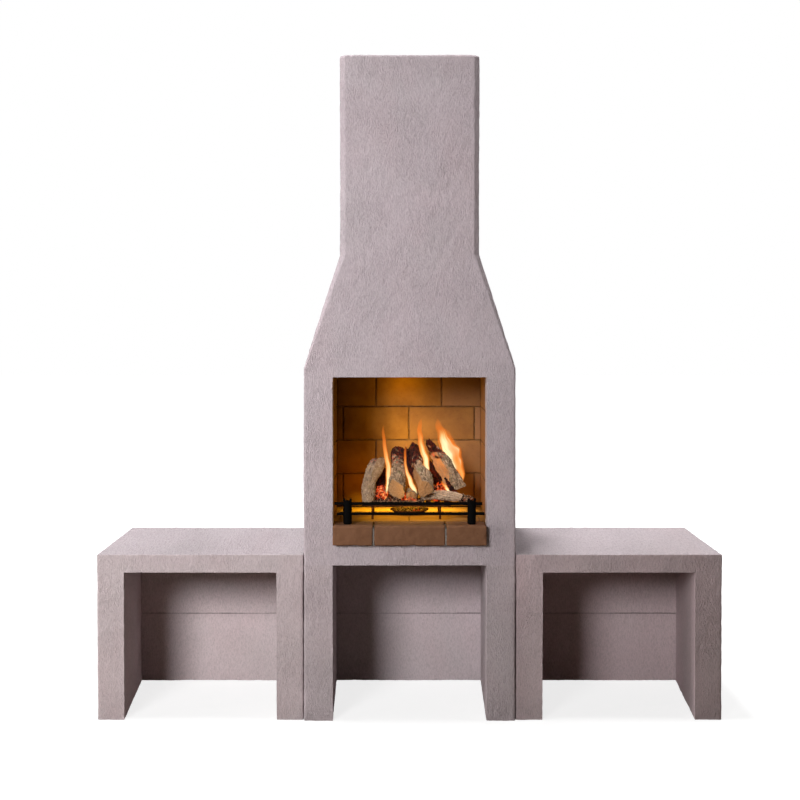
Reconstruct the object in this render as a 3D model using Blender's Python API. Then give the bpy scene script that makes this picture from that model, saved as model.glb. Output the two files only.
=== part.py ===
"""A modular masonry fireplace for outdoors: centre unit with wood box, brick-lined firebox, hood and
chimney, a bench on each side, a loose log guard, and a log fire on a grate. Metres, +Z up, front at -Y."""

import itertools
import math

import bmesh
import bpy
from mathutils import Vector
from mathutils.bvhtree import BVHTree

# Clearances
seat_gap = 0.0003  # between pieces that rest on each other
side_clearance = 0.001  # round a register or a rail that has to go in
cut_overrun = 0.02  # how far a cutter runs past the face that it opens

# Centre unit
body_width = 0.690
body_depth = 0.610
base_opening_height = 0.508
base_wall = 0.0955
base_wall_rear = 0.085  # the walls taper, so that the mould's core could be drawn out of the back
hearth_slab_thickness = 0.068
fire_opening_height = 0.480
jamb_width = 0.0955
shell_wall = 0.053
rear_wall = 0.095
panel_rebate = 0.020  # how far a back panel is let into the walls beside it
back_joint_height = 0.245
corner_radius = 0.008
panel_chamfer = 0.003

# Hood and chimney
lintel_height = 0.030
lintel_thickness = 0.095
hood_height = 0.368
hood_split_share = 0.5
chimney_width = 0.454
chimney_depth = 0.454
chimney_height = 0.645
chimney_wall = 0.077
chimney_corner_radius = 0.022
flue_corner_radius = 0.012
register_height = 0.012
top_arris = 0.009

# Benches
bench_width = 0.6747
bench_height = 0.543
bench_top_thickness = 0.060
bench_leg = 0.090
bench_leg_rear = 0.053
bench_recess = 0.010
bench_rear_wall = 0.095
bench_arris = 0.006

# Firebricks
brick_length = 0.230
brick_width = 0.115
brick_thickness = 0.064
split_thickness = 0.032
mortar_joint = 0.004
mortar_rake = 0.006
groove_depth = 0.003
hearth_lip = 0.029  # how far the front course stands out of the plaster face
brick_arris = 0.002
hearth_arris = 0.004  # the loose front course is more worn

# Log guard
post_radius = 0.014
post_height = 0.083
post_clearance = 0.033  # from a post to the jamb beside it
post_setback = 0.050  # from the hearth bricks' front edge to the posts' axes
post_foot_round = 0.004
saddle_width = 0.014
saddle_depth = 0.007
rail_radius = 0.005
rail_clearance = 0.0085  # from a rail's end to the jamb beside it
rail_end_round = 0.001
upper_rail_height = 0.067
lower_rail_height = 0.034
rail_stagger = 0.004

# Grate and ash dish
grate_width = 0.300
grate_depth = 0.190
grate_thickness = 0.006
grate_height = 0.050
grate_setback = 0.125  # from the plaster face to the grate's front edge
grate_offset = -0.010
grate_corner = 0.012
grate_slots = 9
grate_slot_width = 0.014
grate_border = 0.014
leg_radius = 0.004
leg_inset = 0.037
leg_edge = 0.012
dish_radius = 0.066
dish_height = 0.016
dish_setback = 0.2775
dish_offset = 0.001
dish_wall = 0.003
dish_foot_share = 0.6

# Fire
log_length = 0.200
log_radius = 0.030
bark_share = 0.05
ember_height = 0.011
ember_width_shares = (-0.76, 0.40)  # its left and right ends, as shares of the grate's half width
ember_depth_shares = (-0.96, 0.0)  # its front and rear, as shares of the grate's half depth
ember_rim_share = 0.33
ember_lump_share = 0.07
ember_columns = 14
ember_rows = 7

# Each log: the middle of its lower end as shares of the grate's half width and half depth, its
# length and radius as shares of log_length and log_radius, its bow as a share of its length.
log_shares = {
    "base_log_left": dict(
        foot_shares=(-0.76, 0.30), length_share=0.55, radius_share=0.55, bow_share=0.03,
    ),
    "base_log_middle": dict(
        foot_shares=(0.13, -0.93), length_share=0.72, radius_share=0.60, bow_share=0,
    ),
    "base_log_right": dict(
        foot_shares=(0.33, -0.36), length_share=0.80, radius_share=0.60, bow_share=0.04,
    ),
    "left_bent_log": dict(
        foot_shares=(-0.90, -0.45), length_share=0.82, radius_share=0.76, bow_share=0.15,
    ),
    "leaning_log_left": dict(
        foot_shares=(-0.24, -0.88), length_share=1.00, radius_share=1.03, bow_share=0,
    ),
    "leaning_log_right": dict(
        foot_shares=(0.39, -0.92), length_share=1.04, radius_share=0.95, bow_share=0.03,
    ),
    "split_log": dict(
        foot_shares=(1.10, 0.26), length_share=0.98, radius_share=1.35, bow_share=-0.04,
    ),
}

# How each log leans, in degrees: from upright, and its heading (0 is to the right, 90 to the back).
log_leans = {
    "base_log_left": (90, 0),
    "base_log_middle": (90, 90),
    "base_log_right": (90, 0),
    "left_bent_log": (14, 20),
    "leaning_log_left": (52, 88),
    "leaning_log_right": (48, 104),
    "split_log": (32, 176),
}
split_logs = ("split_log",)
log_sections = 9
log_sides = 12
corner_steps = 4
round_steps = 24

# What follows from the sizes above
front_y = (hearth_lip - body_depth) / 2
back_y = front_y + body_depth
hearth_front_y = front_y - hearth_lip
slab_top = base_opening_height + hearth_slab_thickness
floor_top = slab_top + brick_thickness
opening_top = floor_top + fire_opening_height
shoulder_z = opening_top + lintel_height
hood_top = shoulder_z + hood_height
chimney_top = hood_top + chimney_height
shell_back_y = back_y - rear_wall
lining_face_y = shell_back_y - mortar_joint - brick_thickness
lining_half_width = body_width / 2 - shell_wall - mortar_joint - split_thickness
opening_half_width = body_width / 2 - jamb_width
jamb_depth = brick_width - hearth_lip
course_pitch = brick_width + mortar_joint
lining_top = opening_top - seat_gap
floor_courses = math.ceil((lining_face_y - seat_gap - hearth_front_y) / course_pitch)
back_courses = math.ceil((lining_top - floor_top - mortar_joint) / course_pitch)
guard_y = hearth_front_y + post_setback
post_x = opening_half_width - post_clearance - post_radius
rail_length = (opening_half_width - rail_clearance) * 2
grate_top = floor_top + grate_height

plaster = dict(color=(0.42, 0.37, 0.38), roughness=0.95, metallic=0.0)
firebrick = dict(color=(0.36, 0.20, 0.10), roughness=0.90, metallic=0.0)
mortar = dict(color=(0.20, 0.13, 0.09), roughness=0.95, metallic=0.0)
black_iron = dict(color=(0.012, 0.012, 0.013), roughness=0.60, metallic=0.4)
rusty_iron = dict(color=(0.05, 0.035, 0.03), roughness=0.80, metallic=0.5)
bark = dict(color=(0.24, 0.18, 0.14), roughness=0.95, metallic=0.0)
charcoal = dict(color=(0.03, 0.025, 0.022), roughness=0.95, metallic=0.0)


def clear_scene():
    for old in list(bpy.data.objects):
        bpy.data.objects.remove(old, do_unlink=True)


def material_of(name, look):
    made = bpy.data.materials.new(name)
    made.use_nodes = True
    shader = made.node_tree.nodes["Principled BSDF"]
    shader.inputs["Base Color"].default_value = (*look["color"], 1)
    shader.inputs["Roughness"].default_value = look["roughness"]
    shader.inputs["Metallic"].default_value = look["metallic"]
    return made


def add_object(name, vertices, faces, look, smooth=False):
    """Makes an object of these points and faces, with its faces turned outwards."""
    mesh = bpy.data.meshes.new(name)
    shape = bmesh.new()
    points = [shape.verts.new(vertex) for vertex in vertices]
    for face in faces:
        shape.faces.new([points[index] for index in face])
    bmesh.ops.recalc_face_normals(shape, faces=shape.faces)
    shape.to_mesh(mesh)
    shape.free()
    mesh.materials.append(material_of(name, look))
    if smooth:
        mesh.shade_smooth()
        mesh.set_sharp_from_angle(angle=math.radians(40))
    made = bpy.data.objects.new(name, mesh)
    bpy.context.scene.collection.objects.link(made)
    return made


def loft(name, loops, look, ring=False, smooth=False):
    """Joins loops of equal count, one after the other: a ring closes on itself, else its ends are capped."""
    count = len(loops[0])
    vertices = [point for loop in loops for point in loop]
    faces = []
    for row in range(len(loops) if ring else len(loops) - 1):
        here, there = row * count, (row + 1) % len(loops) * count
        for side in range(count):
            following = (side + 1) % count
            faces.append((here + side, here + following, there + following, there + side))
    if not ring:
        faces.append(tuple(range(count)))
        faces.append(tuple(range(len(vertices) - count, len(vertices))))
    return add_object(name, vertices, faces, look, smooth)


def fillet_outline(corners, radii):
    """The outline with each corner that has a radius turned into an arc."""
    outline = []
    for index, (corner, radius) in enumerate(zip(corners, radii)):
        here = Vector(corner)
        if radius == 0:
            outline.append(here)
            continue
        before = (Vector(corners[index - 1]) - here).normalized()
        after = (Vector(corners[(index + 1) % len(corners)]) - here).normalized()
        half_angle = before.angle(after) / 2
        centre = here + (before + after).normalized() * radius / math.sin(half_angle)
        start = here + before * radius / math.tan(half_angle) - centre
        end = here + after * radius / math.tan(half_angle) - centre
        for step in range(corner_steps + 1):
            outline.append(centre + start.slerp(end, step / corner_steps).normalized() * start.length)
    return outline


def prism(name, corners, radii, bottom, top, look):
    outline = fillet_outline(corners, radii)
    loops = [[(x, y, z) for x, y in outline] for z in (bottom, top)]
    return loft(name, loops, look)


def rectangle_loop(low, high, radius, z, rear_radius=None):
    """A rectangle at this height, from low to high in x and y, with round corners."""
    rear = radius if rear_radius is None else rear_radius
    corners = [(low[0], low[1]), (high[0], low[1]), (high[0], high[1]), (low[0], high[1])]
    return [(x, y, z) for x, y in fillet_outline(corners, [radius, radius, rear, rear])]


def inset_loop(low, high, radius, inset, z):
    return rectangle_loop(
        (low[0] + inset, low[1] + inset), (high[0] - inset, high[1] - inset), radius, z
    )


def chamfered_block(name, low, high, arris, look):
    """A block with round upright edges and chamfered level ones, so that a joint between two shows."""
    loops = [
        inset_loop(low, high, arris, arris, low[2]),
        inset_loop(low, high, arris, 0, low[2] + arris),
        inset_loop(low, high, arris, 0, high[2] - arris),
        inset_loop(low, high, arris, arris, high[2]),
    ]
    return loft(name, loops, look)


def slab(name, low, high, arris, look):
    """A lying slab with round corners and a round upper arris."""
    loops = [inset_loop(low, high, corner_radius, 0, low[2])]
    for step in range(corner_steps + 1):
        turn = math.pi / 2 * step / corner_steps
        inset = arris * (1 - math.cos(turn))
        loops.append(inset_loop(low, high, corner_radius, inset, high[2] - arris * (1 - math.sin(turn))))
    return loft(name, loops, look)


def side_wall(name, outer_x, inward, stations, bottom, top):
    """A wall of constant plan. Each station is a depth and the wall's thickness there, front to back."""
    corners = [(outer_x, stations[-1][0]), (outer_x, stations[0][0])]
    corners += [(outer_x + inward * thickness, depth) for depth, thickness in stations]
    radii = [0, corner_radius, corner_radius] + [0] * (len(corners) - 3)
    return prism(name, corners, radii, bottom, top, plaster)


def wood_store(names, left_x, right_x, face_y, thicknesses, rear, height):
    """The two walls and the two back panels of an open-fronted box, with the panels let into the walls.
    The walls taper from the first of the two thicknesses at the front to the second at the panels."""
    shoulder = back_y - rear
    front_wall, rear_wall_end = thicknesses
    rebated = rear_wall_end - panel_rebate
    stations = [(face_y, front_wall), (shoulder, rear_wall_end), (shoulder, rebated), (back_y, rebated)]
    left_name, right_name, panel_name = names
    side_wall(left_name, left_x, 1, stations, 0, height - seat_gap)
    side_wall(right_name, right_x, -1, stations, 0, height - seat_gap)
    low_x = left_x + rebated + seat_gap
    high_x = right_x - rebated - seat_gap
    low_y = shoulder + seat_gap
    lower = (low_x, low_y, 0), (high_x, back_y, back_joint_height - seat_gap)
    upper = (low_x, low_y, back_joint_height), (high_x, back_y, height - seat_gap)
    chamfered_block(f"{panel_name}_lower", *lower, panel_chamfer, plaster)
    chamfered_block(f"{panel_name}_upper", *upper, panel_chamfer, plaster)


def centre_base():
    half = body_width / 2
    names = "base_left_wall", "base_right_wall", "base_back"
    walls = base_wall, base_wall_rear
    wood_store(names, -half, half, front_y, walls, rear_wall, base_opening_height)
    low, high = (-half, front_y), (half, back_y)
    loops = [
        rectangle_loop(low, high, corner_radius, z)
        for z in (base_opening_height, slab_top - seat_gap)
    ]
    loft("hearth_slab", loops, plaster)


def bench(prefix, left_x):
    right_x = left_x + bench_width
    face_y = front_y + bench_recess
    leg_height = bench_height - bench_top_thickness
    names = f"{prefix}_left_leg", f"{prefix}_right_leg", f"{prefix}_back"
    legs = bench_leg, bench_leg_rear
    wood_store(names, left_x, right_x, face_y, legs, bench_rear_wall, leg_height)
    low, high = (left_x, face_y, leg_height), (right_x, back_y, bench_height)
    slab(f"{prefix}_top", low, high, bench_arris, plaster)


def firebox_shell():
    half = body_width / 2
    jamb_back = front_y + jamb_depth
    rebated = shell_wall - panel_rebate
    stations = [
        (front_y, jamb_width),
        (jamb_back, jamb_width),
        (jamb_back, shell_wall),
        (shell_back_y, shell_wall),
        (shell_back_y, rebated),
        (back_y, rebated),
    ]
    top = opening_top - seat_gap
    side_wall("firebox_left_wall", -half, 1, stations, slab_top, top)
    side_wall("firebox_right_wall", half, -1, stations, slab_top, top)
    reach = half - rebated - seat_gap
    low_y = shell_back_y + seat_gap
    corners = [(-reach, low_y), (reach, low_y), (reach, back_y), (-reach, back_y)]
    prism("firebox_back_wall", corners, [0, 0, 0, 0], slab_top, top, plaster)


def stack_section(z):
    """Outer and inner rectangles of hood and chimney at this height, and the outer corner radius."""
    share = min(max((z - shoulder_z) / hood_height, 0), 1)
    smoke_share = min(max((z - opening_top) / (hood_top - opening_top), 0), 1)

    def between(start, end, at):
        return start + (end - start) * at

    half = between(body_width / 2, chimney_width / 2, share)
    rear = between(back_y, front_y + chimney_depth, share)
    radius = between(corner_radius, chimney_corner_radius, share)
    flue_half = between(lining_half_width, chimney_width / 2 - chimney_wall, smoke_share)
    flue_front = between(front_y + lintel_thickness, front_y + chimney_wall, smoke_share)
    flue_rear = between(lining_face_y, front_y + chimney_depth - chimney_wall, smoke_share)
    outer = (-half, front_y), (half, rear)
    inner = (-flue_half, flue_front), (flue_half, flue_rear)
    return outer, inner, radius


def register_section(z, clearance):
    """The rectangle half way through the wall, where one casting's lip goes up into the next."""
    outer, inner, _ = stack_section(z)
    low = [(a + b) / 2 - clearance for a, b in zip(outer[0], inner[0])]
    high = [(a + b) / 2 + clearance for a, b in zip(outer[1], inner[1])]
    return low, high


def stack_casting(name, bottom, top, seated, lipped):
    """A hollow casting of the hood or chimney, with a rebate below and a raised lip round the flue above."""
    heights = [bottom] + [z for z in (shoulder_z,) if bottom < z < top] + [top - seat_gap]
    loops = []
    for z in heights[:-1]:
        outer, _, radius = stack_section(z)
        loops.append(rectangle_loop(*outer, radius, z, corner_radius))
    outer, inner, radius = stack_section(top)
    if lipped:
        lip_top = top + register_height - seat_gap
        loops.append(rectangle_loop(*outer, radius, heights[-1], corner_radius))
        loops.append(rectangle_loop(*register_section(top, 0), flue_corner_radius, heights[-1]))
        loops.append(rectangle_loop(*register_section(top, 0), flue_corner_radius, lip_top))
        loops.append(rectangle_loop(*stack_section(lip_top)[1], flue_corner_radius, lip_top))
    else:
        for step in range(corner_steps + 1):
            turn = math.pi / 2 * step / corner_steps
            inset = top_arris * (1 - math.cos(turn))
            z = top - top_arris * (1 - math.sin(turn))
            loops.append(inset_loop(*outer, radius, inset, z))
        loops.append(rectangle_loop(*inner, flue_corner_radius, top))
    if seated:
        rebate_top = bottom + register_height + seat_gap
        rebate = register_section(bottom, side_clearance)
        loops.append(rectangle_loop(*stack_section(rebate_top)[1], flue_corner_radius, rebate_top))
        loops.append(rectangle_loop(*rebate, flue_corner_radius, rebate_top))
        loops.append(rectangle_loop(*rebate, flue_corner_radius, bottom))
    else:
        loops.append(rectangle_loop(*stack_section(bottom)[1], flue_corner_radius, bottom))
    return loft(name, loops, plaster, ring=True)


def hood_and_chimney():
    split = opening_top + (hood_top - opening_top) * hood_split_share
    middle = hood_top + chimney_height / 2
    stack_casting("hood_lower", opening_top, split, seated=False, lipped=True)
    stack_casting("hood_upper", split, hood_top, seated=True, lipped=True)
    stack_casting("chimney_block_lower", hood_top, middle, seated=True, lipped=True)
    stack_casting("chimney_block_upper", middle, chimney_top, seated=True, lipped=False)


def course_spans(low, high, shifted):
    """Where the bricks of one course start and end. A shifted course has its joint on the middle line."""
    pitch = brick_length + mortar_joint
    middle = (low + high) / 2 + (pitch / 2 if shifted else 0)
    reach = math.ceil((high - low) / pitch) + 1
    spans = []
    for place in range(-reach, reach + 1):
        start = max(middle + place * pitch - brick_length / 2, low)
        end = min(middle + place * pitch + brick_length / 2, high)
        if end - start > mortar_joint:
            spans.append((start, end))
    return spans


def relief_panel(name, u_edges, v_edges, height_at, place, look):
    """A panel of cells on a plane, each raised to its own height, closed behind. place turns a cell
    corner's u, v and height into a point."""
    heights = {}
    for i in range(len(u_edges) - 1):
        for j in range(len(v_edges) - 1):
            middle = (u_edges[i] + u_edges[i + 1]) / 2, (v_edges[j] + v_edges[j + 1]) / 2
            heights[i, j] = height_at(*middle)
    vertices, index_of, faces = [], {}, []

    def vertex(i, j, height):
        key = i, j, height
        if key not in index_of:
            index_of[key] = len(vertices)
            vertices.append(place(u_edges[i], v_edges[j], height))
        return index_of[key]

    def column(i, j, low, high):
        around = {heights.get(cell, 0) for cell in ((i, j), (i - 1, j), (i, j - 1), (i - 1, j - 1))}
        return [vertex(i, j, height) for height in sorted(around | {low, high}) if low <= height <= high]

    for (i, j), height in heights.items():
        corners = (i, j), (i + 1, j), (i + 1, j + 1), (i, j + 1)
        faces.append([vertex(*corner, height) for corner in corners])
        faces.append([vertex(*corner, 0) for corner in corners])
        sides = (((i + 1, j), corners[1], corners[2]), ((i, j + 1), corners[2], corners[3]))
        outer = (((i - 1, j), corners[0], corners[3]), ((i, j - 1), corners[0], corners[1]))
        for other, start, end in sides + tuple(side for side in outer if side[0] not in heights):
            low, high = sorted((height, heights.get(other, 0)))
            if low < high:
                faces.append(column(*start, low, high) + column(*end, low, high)[::-1])
    return add_object(name, vertices, faces, look)


def panel_edges(spans_by_course, low, high):
    edges = {low, high}
    for spans in spans_by_course:
        for start, end in spans:
            edges |= {max(start, low), min(end, high)}
    return sorted(edges)


def hearth_and_floor():
    """The front course of loose bricks, and the mortared courses behind it, all standing on the slab."""
    bottom = slab_top + seat_gap
    front_half = opening_half_width - seat_gap
    for number, (start, end) in enumerate(course_spans(-front_half, front_half, False), 1):
        low = start, hearth_front_y, bottom
        high = end, hearth_front_y + brick_width, floor_top
        chamfered_block(f"hearth_brick_{number}", low, high, hearth_arris, firebrick)
    half = lining_half_width - seat_gap
    for course in range(1, floor_courses):
        spans = course_spans(-half, half, course % 2 == 1)
        course_y = hearth_front_y + course * course_pitch

        def height_at(x, _, spans=spans):
            laid = any(start < x < end for start, end in spans)
            return brick_thickness - seat_gap if laid else brick_thickness - seat_gap - groove_depth

        def place(x, y, height):
            return x, y, bottom + height

        widths = panel_edges([spans], -half, half)
        depths = [course_y, min(course_y + brick_width, lining_face_y - seat_gap)]
        relief_panel(f"floor_course_{course + 1}", widths, depths, height_at, place, firebrick)


def back_course(number):
    """Bottom, top and brick spans of a course of the back wall, counted from the floor."""
    bottom = floor_top + mortar_joint + number * course_pitch
    top = min(bottom + brick_width, lining_top)
    half = lining_half_width - seat_gap
    return bottom, top, course_spans(-half, half, number % 2 == 0)


def back_wall():
    """The back wall's bricks in running bond, and the mortar behind and between them."""
    courses = [back_course(number) for number in range(back_courses)]
    rear = lining_face_y + brick_thickness
    for row, (bottom, top, spans) in enumerate(courses, 1):
        for number, (start, end) in enumerate(spans, 1):
            low, high = (start, lining_face_y, bottom), (end, rear, top)
            chamfered_block(f"back_brick_{row}_{number}", low, high, brick_arris, firebrick)
    half = lining_half_width - seat_gap
    holes = [
        [(start - seat_gap, end + seat_gap) for start, end in spans] for _, _, spans in courses
    ]
    levels = {slab_top + seat_gap, lining_top}
    for bottom, top, _ in courses:
        levels |= {bottom - seat_gap, min(top + seat_gap, lining_top)}
    bed = mortar_joint - seat_gap * 2

    def height_at(x, z):
        for (bottom, top, _), spans in zip(courses, holes):
            if bottom - seat_gap < z < top + seat_gap and any(start < x < end for start, end in spans):
                return bed
        return bed + brick_thickness - mortar_rake

    def place(x, z, height):
        return x, shell_back_y - seat_gap - height, z

    relief_panel("back_mortar", panel_edges(holes, -half, half), sorted(levels), height_at, place, mortar)


def side_linings():
    """The firebox's side walls: split bricks in running bond, their joints raked."""
    start_y = front_y + jamb_depth + mortar_joint
    end_y = shell_back_y - seat_gap
    rows = [course_spans(start_y, end_y, number % 2 == 0) for number in range(back_courses)]
    first = floor_top + mortar_joint
    levels = {slab_top + seat_gap, lining_top}
    for number in range(back_courses):
        bottom = first + number * course_pitch
        levels |= {bottom, min(bottom + brick_width, lining_top)}

    def height_at(y, z):
        number = math.floor((z - first) / course_pitch)
        in_course = (z - first) - number * course_pitch < brick_width
        below = z < floor_top - groove_depth
        laid = 0 <= number < back_courses and in_course and any(a < y < b for a, b in rows[number])
        return split_thickness if laid or below else split_thickness - groove_depth

    for name, side in (("left_lining", -1), ("right_lining", 1)):
        shell_x = side * (lining_half_width + split_thickness)

        def place(y, z, height, shell_x=shell_x, side=side):
            return shell_x - side * height, y, z

        relief_panel(name, panel_edges(rows, start_y, end_y), sorted(levels), height_at, place, firebrick)


def circle_loop(centre, axis, radius, steps=round_steps):
    """A circle round an axis through this centre."""
    axis = Vector(axis).normalized()
    across = axis.orthogonal().normalized()
    other = axis.cross(across)
    turns = [2 * math.pi * step / steps for step in range(steps)]
    return [Vector(centre) + radius * (math.cos(turn) * across + math.sin(turn) * other) for turn in turns]


def turned(name, centre, axis, profile, look, steps=round_steps):
    """A turned piece. The profile is a list of radius and distance along the axis."""
    axis = Vector(axis)
    loops = [circle_loop(Vector(centre) + axis * along, axis, radius, steps) for radius, along in profile]
    return loft(name, loops, look, smooth=True)


def hide_helper(made):
    made.hide_render = True
    made.display_type = "WIRE"
    return made


def cutter(name, boxes):
    """One hidden mesh of separate boxes that a Boolean takes away."""
    vertices, faces = [], []
    for low, high in boxes:
        first = len(vertices)
        sides = zip(low, high)
        vertices += itertools.product(*sides)
        for face in ((0, 1, 3, 2), (4, 6, 7, 5), (0, 4, 5, 1), (2, 3, 7, 6), (0, 2, 6, 4), (1, 5, 7, 3)):
            faces.append([first + index for index in face])
    return hide_helper(add_object(name, vertices, faces, charcoal))


def cut(target, tool, name, operation="DIFFERENCE"):
    made = target.modifiers.new(name, "BOOLEAN")
    made.operation = operation
    made.solver = "EXACT"
    made.object = tool


def rail_profile(radius, length):
    return [
        (radius - rail_end_round, 0),
        (radius, rail_end_round),
        (radius, length - rail_end_round),
        (radius - rail_end_round, length),
    ]


def guard_post(name, x):
    """A round bar with a rounded foot, two holes for the rails and a saddle cut across its top."""
    profile = []
    for step in range(corner_steps + 1):
        turn = math.pi / 2 * step / corner_steps
        inset, rise = post_foot_round * (1 - math.sin(turn)), post_foot_round * (1 - math.cos(turn))
        profile.append((post_radius - inset, rise))
    profile.append((post_radius, post_height))
    post = turned(name, (x, guard_y, floor_top + seat_gap), (0, 0, 1), profile, black_iron)
    reach = post_radius + cut_overrun
    for label, height in (("upper", upper_rail_height), ("lower", lower_rail_height)):
        bore = [(rail_radius + seat_gap, 0), (rail_radius + seat_gap, reach * 2)]
        start = x - reach, guard_y, floor_top + height
        tool = turned(f"{name}_{label}_bore", start, (1, 0, 0), bore, charcoal)
        cut(post, hide_helper(tool), f"{label} bore")
    saddle_bottom = floor_top + seat_gap + post_height - saddle_depth
    low = x - saddle_width / 2, guard_y - reach, saddle_bottom
    high = x + saddle_width / 2, guard_y + reach, saddle_bottom + saddle_depth + cut_overrun
    cut(post, cutter(f"{name}_saddle_cutter", [(low, high)]), "saddle")


def log_guard():
    guard_post("guard_post_left", -post_x)
    guard_post("guard_post_right", post_x)
    rails = [
        ("upper_rail", upper_rail_height, -rail_stagger),
        ("lower_rail", lower_rail_height, rail_stagger),
    ]
    for name, height, shift in rails:
        start = shift - rail_length / 2, guard_y, floor_top + height
        turned(name, start, (1, 0, 0), rail_profile(rail_radius, rail_length), black_iron)


def log_grate():
    """A low iron grate: a plate with slots for the ash, and a leg near each corner."""
    front = front_y + grate_setback
    low = grate_offset - grate_width / 2, front, grate_top - grate_thickness
    high = grate_offset + grate_width / 2, front + grate_depth, grate_top
    loops = [rectangle_loop(low, high, grate_corner, z) for z in (low[2], high[2])]
    plate = loft("log_grate", loops, rusty_iron)
    pitch = (grate_width - grate_border * 2) / grate_slots
    boxes = []
    for number in range(grate_slots):
        middle = low[0] + grate_border + pitch * (number + 1 / 2)
        slot_low = middle - grate_slot_width / 2, low[1] + leg_inset, low[2] - cut_overrun
        boxes.append((slot_low, (middle + grate_slot_width / 2, high[1] - leg_inset, high[2] + cut_overrun)))
    cut(plate, cutter("grate_slot_cutter", boxes), "slots")
    leg_height = grate_height - grate_thickness / 2 - seat_gap
    profile = [(leg_radius, 0), (leg_radius, leg_height)]
    for side in (-1, 1):
        for row, y in (("front", low[1] + leg_edge), ("rear", high[1] - leg_edge)):
            name = f"grate_leg_{row}_{side}"
            place = grate_offset + side * (grate_width / 2 - leg_inset), y, floor_top + seat_gap
            leg = turned(name, place, (0, 0, 1), profile, rusty_iron, round_steps // 2)
            cut(plate, hide_helper(leg), f"{row} leg {side}", "UNION")


def ash_dish():
    """A low round dish under the rear of the grate, turned, with a foot smaller than its rim."""
    foot = dish_radius * dish_foot_share
    outer = [(foot, 0), (dish_radius, dish_height - dish_wall), (dish_radius, dish_height)]
    inner = [(dish_radius - dish_wall, dish_height), (foot - dish_wall, dish_wall)]
    centre = dish_offset, front_y + dish_setback, floor_top + seat_gap
    turned("ash_dish", centre, (0, 0, 1), outer + inner, rusty_iron)


def ember_bed():
    """A low heap of embers on the grate, lumpy on top, under the front ends of the logs."""
    low_x, high_x = (grate_offset + grate_width / 2 * share for share in ember_width_shares)
    middle_y = front_y + grate_setback + grate_depth / 2
    low_y, high_y = (middle_y + grate_depth / 2 * share for share in ember_depth_shares)
    bottom = grate_top + seat_gap

    def height_at(across, along):
        crown = math.sqrt(abs(math.sin(math.pi * across) * math.sin(math.pi * along)))
        lumps = math.sin(across * 23) * math.sin(along * 17) + math.sin(across * 11 + along * 9)
        return ember_height * (ember_rim_share + (1 - ember_rim_share) * crown + ember_lump_share * lumps)

    def place(i, j, top):
        across, along = i / ember_columns, j / ember_rows
        x = low_x + (high_x - low_x) * across
        y = low_y + (high_y - low_y) * along
        return x, y, bottom + (height_at(across, along) if top else 0)

    front_rim = [(i, 0) for i in range(ember_columns)]
    right_rim = [(ember_columns, j) for j in range(ember_rows)]
    rear_rim = [(i, ember_rows) for i in range(ember_columns, 0, -1)]
    left_rim = [(0, j) for j in range(ember_rows, 0, -1)]
    rim = front_rim + right_rim + rear_rim + left_rim
    keys = list(itertools.product(range(ember_columns + 1), range(ember_rows + 1), (True, False)))
    index_of = {key: index for index, key in enumerate(keys)}
    vertices = [place(*key) for key in keys]
    faces = []
    for i, j, top in itertools.product(range(ember_columns), range(ember_rows), (True, False)):
        cell = (i, j), (i + 1, j), (i + 1, j + 1), (i, j + 1)
        faces.append([index_of[(*corner, top)] for corner in cell])
    for start, end in zip(rim, rim[1:] + rim[:1]):
        side = (*start, True), (*end, True), (*end, False), (*start, False)
        faces.append([index_of[key] for key in side])
    return add_object("ember_bed", vertices, faces, charcoal)


def log_section(turn, split):
    """How far the bark lies from the log's axis, as a share of its radius. A split log has a flat side."""
    knots = math.sin(3 * turn + 1) + math.sin(5 * turn + 2) / 2
    if split and math.cos(turn) < -1 / 2:
        return -1 / (2 * math.cos(turn))
    return 1 + bark_share * knots


def firewood(name, shares):
    """A log lofted along a bowed axis from its lower end, above the grate."""
    lean, heading = (math.radians(angle) for angle in log_leans[name])
    level = Vector((-math.sin(heading), math.cos(heading), 0))
    ahead = Vector((math.cos(heading), math.sin(heading), 0))
    axis = ahead * math.sin(lean) + Vector((0, 0, 1)) * math.cos(lean)
    upward = axis.cross(level)
    length, radius = log_length * shares["length_share"], log_radius * shares["radius_share"]
    foot = Vector((
        grate_offset + shares["foot_shares"][0] * grate_width / 2,
        front_y + grate_setback + grate_depth / 2 * (1 + shares["foot_shares"][1]),
        grate_top + length,
    ))
    loops = []
    for section in range(log_sections + 1):
        along = section / log_sections
        bow = length * shares["bow_share"] * math.sin(math.pi * along)
        centre = foot + axis * length * along + upward * bow
        swell = radius * (1 - bark_share * along + bark_share * math.sin(7 * along + math.degrees(heading)))
        loop = []
        for side in range(log_sides):
            turn = 2 * math.pi * side / log_sides
            reach = swell * log_section(turn, name in split_logs)
            loop.append(centre + reach * (math.cos(turn) * upward + math.sin(turn) * level))
        loops.append(loop)
    return loft(name, loops, bark, smooth=True)


def tree_of(made):
    made.data.calc_loop_triangles()
    points = [made.matrix_world @ vertex.co for vertex in made.data.vertices]
    return BVHTree.FromPolygons(points, [tuple(face.vertices) for face in made.data.loop_triangles])


def edge_points(made):
    points = []
    for edge in made.data.edges:
        start, end = (made.data.vertices[index].co for index in edge.vertices)
        points += [start.lerp(end, step / corner_steps) for step in range(corner_steps + 1)]
    return points


def settle(made, lower_pieces):
    """Lets a piece down until it rests on the pieces below it."""
    up, down = Vector((0, 0, 1)), Vector((0, 0, -1))
    drop = min(point.z for point in edge_points(made)) - grate_top
    own_tree, own_points = tree_of(made), edge_points(made)
    for other in lower_pieces:
        other_tree = tree_of(other)
        for point in own_points:
            hit = other_tree.ray_cast(point, down)
            if hit[0]:
                drop = min(drop, hit[3])
        for point in edge_points(other):
            hit = own_tree.ray_cast(point, up)
            if hit[0]:
                drop = min(drop, hit[3])
    for vertex in made.data.vertices:
        vertex.co.z -= drop - seat_gap * 2


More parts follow.
